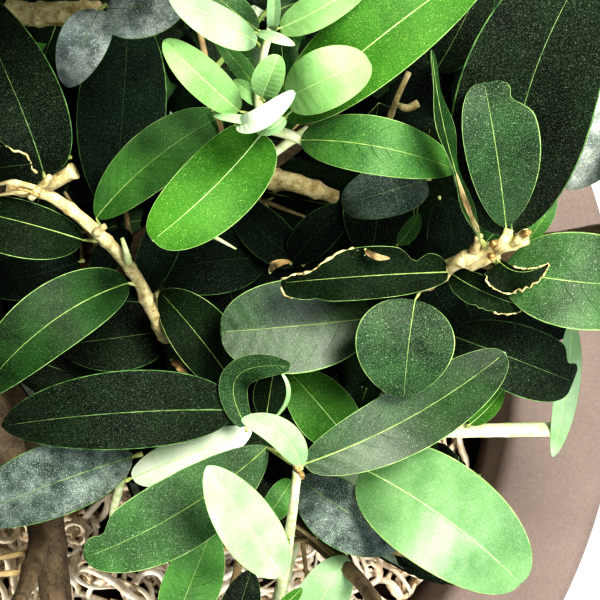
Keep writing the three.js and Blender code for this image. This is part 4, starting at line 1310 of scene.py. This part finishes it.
wood_finishes = [bark("twig_bark", **TWIG_BARK, cracks=0.0, blotch=TWIG_BLOTCH)]
wood_finishes += [felted("green_twig", **GREEN_TWIG), felted("torn_wood", **TORN_WOOD)]
near_leaves.build("photographed_leaves", leaf_finishes, "leaf")
near_ribs.build("photographed_midribs", rib_finishes, "leaf")
near_wood.build("photographed_twigs", wood_finishes, "bark")

# The crown. Every mass of foliage grows by the rule of the part's source: its stem bears pairs of twigs,
# each pair turned a quarter round from the last, and a twig bears pairs of leaves turned in the same way.
# Here the twigs carry finer sprigs too, and their leaves keep to the mass's own space; the shaded sprigs
# low on the boughs keep only clear of the limbs.
STEM_NODES = 3
FIRST_TWIGS = 0.16
LAST_TWIGS = 0.72
TWIG_SHARE = 0.78
TWIG_SHRINK = 0.26
TWIG_VARIES = 0.1
TWIG_LIFT = 0.17
TWIG_OPENING = 1.2
TWIG_OPENING_LAST = 0.95
TWIG_LEAVES = (0.6, 0.94)
TURN_VARIES = 0.45
LEAF_OPENING = 0.95
LEAF_STEEPEST = -0.35
LIMB_CLEARANCE = 2.2
BOX_MARGIN = 1.5
RIM_CLEARANCE = 6
WELL = {"middle": (77, 17), "top": 560, "half_width": 102, "floor": 232}
GROWN_BARK = {"dark": "#887656", "pale": "#b3a077", "pore": "#4a3a24"}
GREEN_SPRIG = {"deep": "#6f8a4a", "pale": "#a9b877", "grain_size": 2.5}
TWIG_RADII = (1.7, 0.7)
SPRIG_RADII = (0.95, 0.45)
SPRIG_SHARE = 0.62
SPRIG_DIVISIONS = 24
LEAF_SPACING = 11.5
TWIG_LEAF = (40, 56)
SPRIG_LEAF = (30, 43)
LEAF_BREADTH = 0.45
SHADED_SPAN = (0.2, 0.97)
SHADED_SPACING = 9
SHADED_SEED_SHIFT = 100
SHADED_LEVEL = (1, 1, 0.5)
SHADED_SPRIG = (16, 44)
SHADED_LEAF = (36, 52)
LEAF_STALK = 2.6
LEAF_LEAN = 0.16
LEAF_DROOP = (0.02, 0.2)
LEAF_ARCH = (0.0, 0.09)
LEAF_SWERVE = 0.03
LEAF_HALF = (0.43, 0.55)
LEAF_WIDEST = (0.42, 0.52)
LEAF_BLUNT = (1.0, 1.35)
LEAF_ROLL = 0.22
LEAF_TWIST = 0.3
LEAF_FOLD = (0.05, 0.3)
LEAF_WAVE = (0, 0.07)
LEAF_PHASE = (0, 6)
FAR_RIB = {"radius": 0.5, "rows": 5, "sides": 4}
SPRAY_FIRST = 0.2
SPRAY_SPAN = 0.76
SPRIGS_UNTIL = 0.85
LEAF_AT_FOOT = 1.06
LEAF_LOSS = 0.3
TIP_LEAF = 0.8
FAR_TWIG_RINGS = 9
FAR_TWIG_SIDES = 6
TWIG_SPOTS = np.array([0.3, 0.6, 1.0])
SPRIG_SPOTS = np.array([0.6, 1.0])
STEM_SPRIG_SPOTS = np.array([0.5, 1.0])
SHADED_SPOTS = np.array([0.4, 0.7, 1.0])
SPRIG_OPENING = (0.8, 1.1)
SPRIG_VARIES = (0.75, 1.1)
STEM_SPRIGS = (0.3, 0.42, 0.55, 0.63, 0.8, 0.87, 0.93)
STEM_SPRIG_VARIES = (0.45, 0.7)
STEM_SPRIG_OPENING = 1.0
STEM_TIP_LEAF = 30
SHADED_OPENING = (0.9, 1.4)
SHADED_LEAVES = (0.45, 0.75)
SHADED_TINTS = {"shaded": 0.4, "deep": 0.25, "dark": 0.25, "full": 0.1}
SHADED_FRAME = {"px": (-90, 660), "py": (-90, 690), "over_rim": 125}
SPRAY_TINTS = ["dark", "full", "mid", "dusty", "bright", "young"]
INNER_SHARES = [0.5, 0.3, 0.08, 0.12, 0.0, 0.0]
OUTER_SHARES = [0.24, 0.33, 0.22, 0.06, 0.12, 0.03]
CROWN_MIDDLE = 140
CROWN_REACH = (200, 200, 250)
FRESH_FROM = 0.5
FRESH_OVER = 0.4
# In the view, the crown under the photographed shoots stays low, and is open where the moss and the
# planter's rim show between the leaves. These openings are outlined in pixels of the picture.
UNDER_SHOOTS = 5
BETWEEN_SHOOTS = 128
VIEW_OPENINGS = [
    [(-20, 468), (40, 455), (125, 490), (122, 560), (165, 585), (150, 640), (-20, 640)],
    [(-20, 375), (25, 375), (35, 470), (-20, 470)],
    [(232, 560), (286, 560), (286, 640), (232, 640)],
    [(335, 545), (418, 560), (440, 640), (335, 640)],
    [(428, 432), (505, 398), (630, 318), (640, 640), (420, 640), (440, 592), (520, 592), (532, 540),
     (484, 470)],
    [(556, 172), (630, 160), (630, 238), (556, 238)],
]


def seeded(seed):
    """A run of even numbers from 0 up to 1 that is the same each time for the same seed."""
    full = 0xFFFFFFFF

    def following():
        nonlocal seed
        seed = (seed + 0x6D2B79F5) & full
        mixed = ((seed ^ (seed >> 15)) * (seed | 1)) & full
        mixed ^= (mixed + (mixed ^ (mixed >> 7)) * (mixed | 61)) & full
        return (mixed ^ (mixed >> 14)) / (full + 1)

    return following


limb_places, limb_rooms, limb_owners = [], [], []
for name, mass in MASSES.items():
    for step in range(51):
        share = step * 0.02
        in_stem = share > mass["entry"]
        on_trunk = name == "crown_top" and not in_stem
        limb_places.append(mass["way"].at(min(share, 1)))
        limb_rooms.append((trunk_radius(share, 0) if on_trunk else bough_radius(share)) + LIMB_CLEARANCE)
        limb_owners.append(name if in_stem else "")
limb_places, limb_rooms, limb_owners = np.array(limb_places), np.array(limb_rooms), np.array(limb_owners)


def in_box(places):
    """Whether all the places are inside the box that the solids reach."""
    low, high = (np.array(corner) / MM for corner in cad_box)
    return bool(((places > low + BOX_MARGIN) & (places < high - BOX_MARGIN)).all())


def is_free(name, places):
    """Whether all the places are in the mass's space, out of the well, over the rim and clear of limbs."""
    places = np.atleast_2d(places)
    if not in_box(places):
        return False
    height = places[:, 2] - RIM_TOP
    half = WELL["half_width"] * (1 - height / WELL["top"])
    away = np.abs(places[:, :2] - WELL["middle"])
    if not in_space(name, places).all() or (height <= RIM_CLEARANCE).any():
        return False
    if ((height > WELL["floor"]) & (away < half[:, None]).all(1)).any():
        return False
    others = limb_owners != name
    apart = np.linalg.norm(places[:, None] - limb_places[others][None], axis=2)
    return bool((apart > limb_rooms[others]).all())


def inside_outline(px, py, outline):
    """Whether each pixel lies in an outline, by the count of the sides that pass to its right."""
    inside = np.zeros(len(px), bool)
    for (ax, ay), (bx, by) in zip(outline, outline[1:] + outline[:1]):
        crosses = (ay > py) != (by > py)
        inside ^= crosses & (px < ax + (bx - ax) * (py - ay) / (by - ay if by != ay else 1))
    return inside


def keeps_view(places):
    """Whether the places leave the view of the photographed shoots, the moss and the rim open."""
    places = np.atleast_2d(places)
    px, py = pixel_of(places.T)
    framed = in_view(px, py)
    above = shoots_over[cover_cell(py[framed]), cover_cell(px[framed])]
    if (places[framed, 2] - RIM_TOP > np.minimum(above - UNDER_SHOOTS, BETWEEN_SHOOTS)).any():
        return False
    return not any(inside_outline(px, py, outline).any() for outline in VIEW_OPENINGS)


def turned_about(vector, axis, angle):
    """A vector turned about an axis."""
    return (vector * math.cos(angle) + np.cross(axis, vector) * math.sin(angle)
            + axis * np.dot(axis, vector) * (1 - math.cos(angle)))


def pair_of_ways(path, share, node, opening, draw):
    """The two ways out of a node, opposite each other and opened by an angle from what bears them."""
    along = path.along(share)
    level = np.cross(UP, along)
    turn = (node % 2) * 0.5 * math.pi + (draw() * 2 - 1) * TURN_VARIES
    level = unit(level) if np.dot(level, level) > 0.01 else np.array([0.0, 1.0, 0.0])
    across = turned_about(level, along, turn)
    return [along * math.cos(opening) + across * side * math.sin(opening) for side in (1, -1)]


def twig_path(foot, way, length, divisions=200):
    return Way([foot, foot + way * length * 0.5, foot + way * length + UP * length * TWIG_LIFT], divisions)


leaf_groups = {group: Joined() for group in ("crown_top", "high", "low", "near")}
rib_groups = {group: Joined() for group in ("upper", "lower")}
far_twigs = Joined()


def add_leaf(name, node, way, length, tint, own, has_room=is_free):
    """One leaf on its stalk, where it has room."""
    along = unit(np.array([way[0], way[1], max(way[2], LEAF_STEEPEST)]))
    face = unit(unit(UP - along * along[2]) + own.normal(0, LEAF_LEAN, 3))
    foot = node + along * LEAF_STALK
    tip = foot + along * length - UP * length * own.uniform(*LEAF_DROOP)
    side = unit(np.cross(face, along))
    middle = (foot + tip) / 2 + face * length * own.uniform(*LEAF_ARCH)
    middle += side * length * own.normal(0, LEAF_SWERVE)
    half = length * LEAF_BREADTH * own.uniform(*LEAF_HALF)
    spots = np.array([foot, middle, tip, middle + side * half, middle - side * half,
                      (middle + tip) / 2 + side * half * 0.8, (middle + tip) / 2 - side * half * 0.8])
    if not has_room(name, spots[1:]) or not keeps_view(spots):
        return
    leaf = Leaf(foot, middle, tip, (half, half), face=face, widest=own.uniform(*LEAF_WIDEST),
                blunt=own.uniform(*LEAF_BLUNT), roll=own.normal(0, LEAF_ROLL),
                twist=own.normal(0, LEAF_TWIST), fold=own.uniform(*LEAF_FOLD),
                wave=own.uniform(*LEAF_WAVE), phase=own.uniform(*LEAF_PHASE))
    group = name if name == "crown_top" else name.split("_")[0]
    slots = (TINT_SLOTS[tint], UNDERSIDE_SLOT, MARGIN_SLOTS[tint])
    add_blade(leaf_groups[group], leaf, FAR_ACROSS, FAR_ROWS, *slots)
    ribs = rib_groups["upper" if group in ("crown_top", "high") else "lower"]
    add_rib(ribs, leaf, node, slot=RIB_SLOTS[tint], **FAR_RIB)


def add_twig_wood(path, radii, slot):
    shares = np.linspace(0, 1, FAR_TWIG_RINGS)
    thick = radii[0] + (radii[1] - radii[0]) * shares
    far_twigs.add(*tubes(path.at(shares)[None], thick[None], FAR_TWIG_SIDES), slot)


def add_spray(name, path, radii, leaf_size, tint, own, sprigs):
    """The wood of a twig, its pairs of leaves, the finer sprigs at some of its nodes, and its tip leaf."""
    add_twig_wood(path, radii, 0 if sprigs else 1)
    nodes = max(2, round(path.length / LEAF_SPACING))
    for node in range(nodes):
        share = SPRAY_FIRST + SPRAY_SPAN * node / (nodes - 1)
        opening = own.uniform(*SPRIG_OPENING)
        bears_sprigs = sprigs and node % 2 == 0 and share < SPRIGS_UNTIL
        for way in pair_of_ways(path, share, node, opening, own.random):
            if bears_sprigs:
                length = path.length * SPRIG_SHARE * own.uniform(*SPRIG_VARIES)
                sprig = twig_path(path.at(share), way, length, SPRIG_DIVISIONS)
                ends = sprig.at(SPRIG_SPOTS)
                if is_free(name, ends) and keeps_view(ends):
                    sprig_tint = spray_tint(ends[1], own)
                    add_spray(name, sprig, SPRIG_RADII, SPRIG_LEAF, sprig_tint, own, False)
                    continue
            size = own.uniform(*leaf_size) * (LEAF_AT_FOOT - LEAF_LOSS * share)
            add_leaf(name, path.at(share), way, size, tint, own)
    add_leaf(name, path.at(1), path.along(1), own.uniform(*leaf_size) * TIP_LEAF, tint, own)


def spray_tint(end, own):
    """One tint for a whole spray: darker inside the crown, fresher toward its outside."""
    middle = mass_middles[0] * (1, 1, 0) + UP * (RIM_TOP + CROWN_MIDDLE)
    outer = np.clip((np.linalg.norm((end - middle) / CROWN_REACH) - FRESH_FROM) / FRESH_OVER, 0, 1)
    shares = np.array(INNER_SHARES) * (1 - outer) + np.array(OUTER_SHARES) * outer
    return own.choice(SPRAY_TINTS, p=shares / shares.sum())


def grow(name):
    """Follows the part's rule draw by draw, so that the main twigs are the ones its solids have."""
    mass = MASSES[name]
    way, entry, random = mass["way"], mass["entry"], seeded(mass["seed"])
    own = np.random.default_rng(mass["seed"])
    size = min(mass["reach"])

    for node in range(STEM_NODES):
        done = node / (STEM_NODES - 1)
        share = entry + (1 - entry) * (FIRST_TWIGS + (LAST_TWIGS - FIRST_TWIGS) * done)
        opening = TWIG_OPENING + (TWIG_OPENING_LAST - TWIG_OPENING) * done
        for out in pair_of_ways(way, share, node, opening, random):
            varied = 1 + (random() * 2 - 1) * TWIG_VARIES
            path = twig_path(way.at(share), out, size * varied * (TWIG_SHARE - TWIG_SHRINK * done))
            if not is_free(name, path.at(np.array(TWIG_LEAVES))):
                continue
            # the draws that the source makes for the twig's pairs of leaves
            for leaf_node, leaf_share in enumerate(TWIG_LEAVES):
                pair_of_ways(path, leaf_share, leaf_node, LEAF_OPENING, random)
                random()
                random()
            if keeps_view(path.at(TWIG_SPOTS)):
                tint = spray_tint(path.at(1), own)
                add_spray(name, path, TWIG_RADII, TWIG_LEAF, tint, own, True)
    for node, along in enumerate(STEM_SPRIGS):
        share = entry + (1 - entry) * along
        foot = way.at(share)
        for out in pair_of_ways(way, share, node + 1, STEM_SPRIG_OPENING, own.random):
            length = size * SPRIG_SHARE * own.uniform(*STEM_SPRIG_VARIES)
            sprig = twig_path(foot, out, length, SPRIG_DIVISIONS)
            ends = sprig.at(STEM_SPRIG_SPOTS)
            if is_free(name, ends) and keeps_view(ends):
                tint = spray_tint(ends[1], own)
                add_spray(name, sprig, SPRIG_RADII, SPRIG_LEAF, tint, own, False)
    add_leaf(name, way.at(1), way.along(1), STEM_TIP_LEAF, spray_tint(way.at(1), own), own)


def clear_of_limbs(name, places):
    """Whether all the places are over the rim and clear of every limb."""
    apart = np.linalg.norm(places[:, None] - limb_places[None], axis=2)
    clear = (apart > limb_rooms).all() and (places[:, 2] > RIM_TOP + RIM_CLEARANCE).all()
    return bool(clear and in_box(places))


def grow_under_shoots(name):
    """The shaded sprigs low on a bough that passes under the photographed shoots."""
    way = MASSES[name]["way"]
    own = np.random.default_rng(MASSES[name]["seed"] + SHADED_SEED_SHIFT)
    (low_px, high_px), (low_py, high_py) = SHADED_FRAME["px"], SHADED_FRAME["py"]
    for node, share in enumerate(np.arange(*SHADED_SPAN, SHADED_SPACING / way.length)):
        foot = way.at(share)
        px, py = pixel_of(foot)
        framed = low_px < px < high_px and low_py < py < high_py
        if not framed or foot[2] - RIM_TOP >= SHADED_FRAME["over_rim"]:
            continue
        for out in pair_of_ways(way, share, node, own.uniform(*SHADED_OPENING), own.random):
            length = own.uniform(*SHADED_SPRIG)
            path = twig_path(foot, unit(out * SHADED_LEVEL), length, SPRIG_DIVISIONS)
            tint = own.choice(list(SHADED_TINTS), p=list(SHADED_TINTS.values()))
            if not keeps_view(path.at(SHADED_SPOTS)):
                continue
            add_twig_wood(path, SPRIG_RADII, 0)
            for leaf_node, along in enumerate(SHADED_LEAVES):
                opening = own.uniform(*SPRIG_OPENING)
                for leaf_way in pair_of_ways(path, along, leaf_node, opening, own.random):
                    size = own.uniform(*SHADED_LEAF)
                    add_leaf(name, path.at(along), leaf_way, size, tint, own, clear_of_limbs)
            size = own.uniform(*SHADED_LEAF)
            add_leaf(name, path.at(1), path.along(1), size, tint, own, clear_of_limbs)


for name in MASSES:
    grow(name)
    grow_under_shoots(name)
for group, heap in leaf_groups.items():
    replaced = [name for name in MASSES if name.startswith(group)]
    heap.build(f"leaves_{group}", leaf_finishes, "leaf", [f"foliage_{name}" for name in replaced])
for group, heap in rib_groups.items():
    heap.build(f"midribs_{group}", rib_finishes, "leaf")
twig_finishes = [bark("grown_twig", **GROWN_BARK, cracks=0.0, blotch=TWIG_BLOTCH)]
twig_finishes.append(felted("sprig_green", **GREEN_SPRIG))
far_twigs.build("twigs", twig_finishes, "bark")
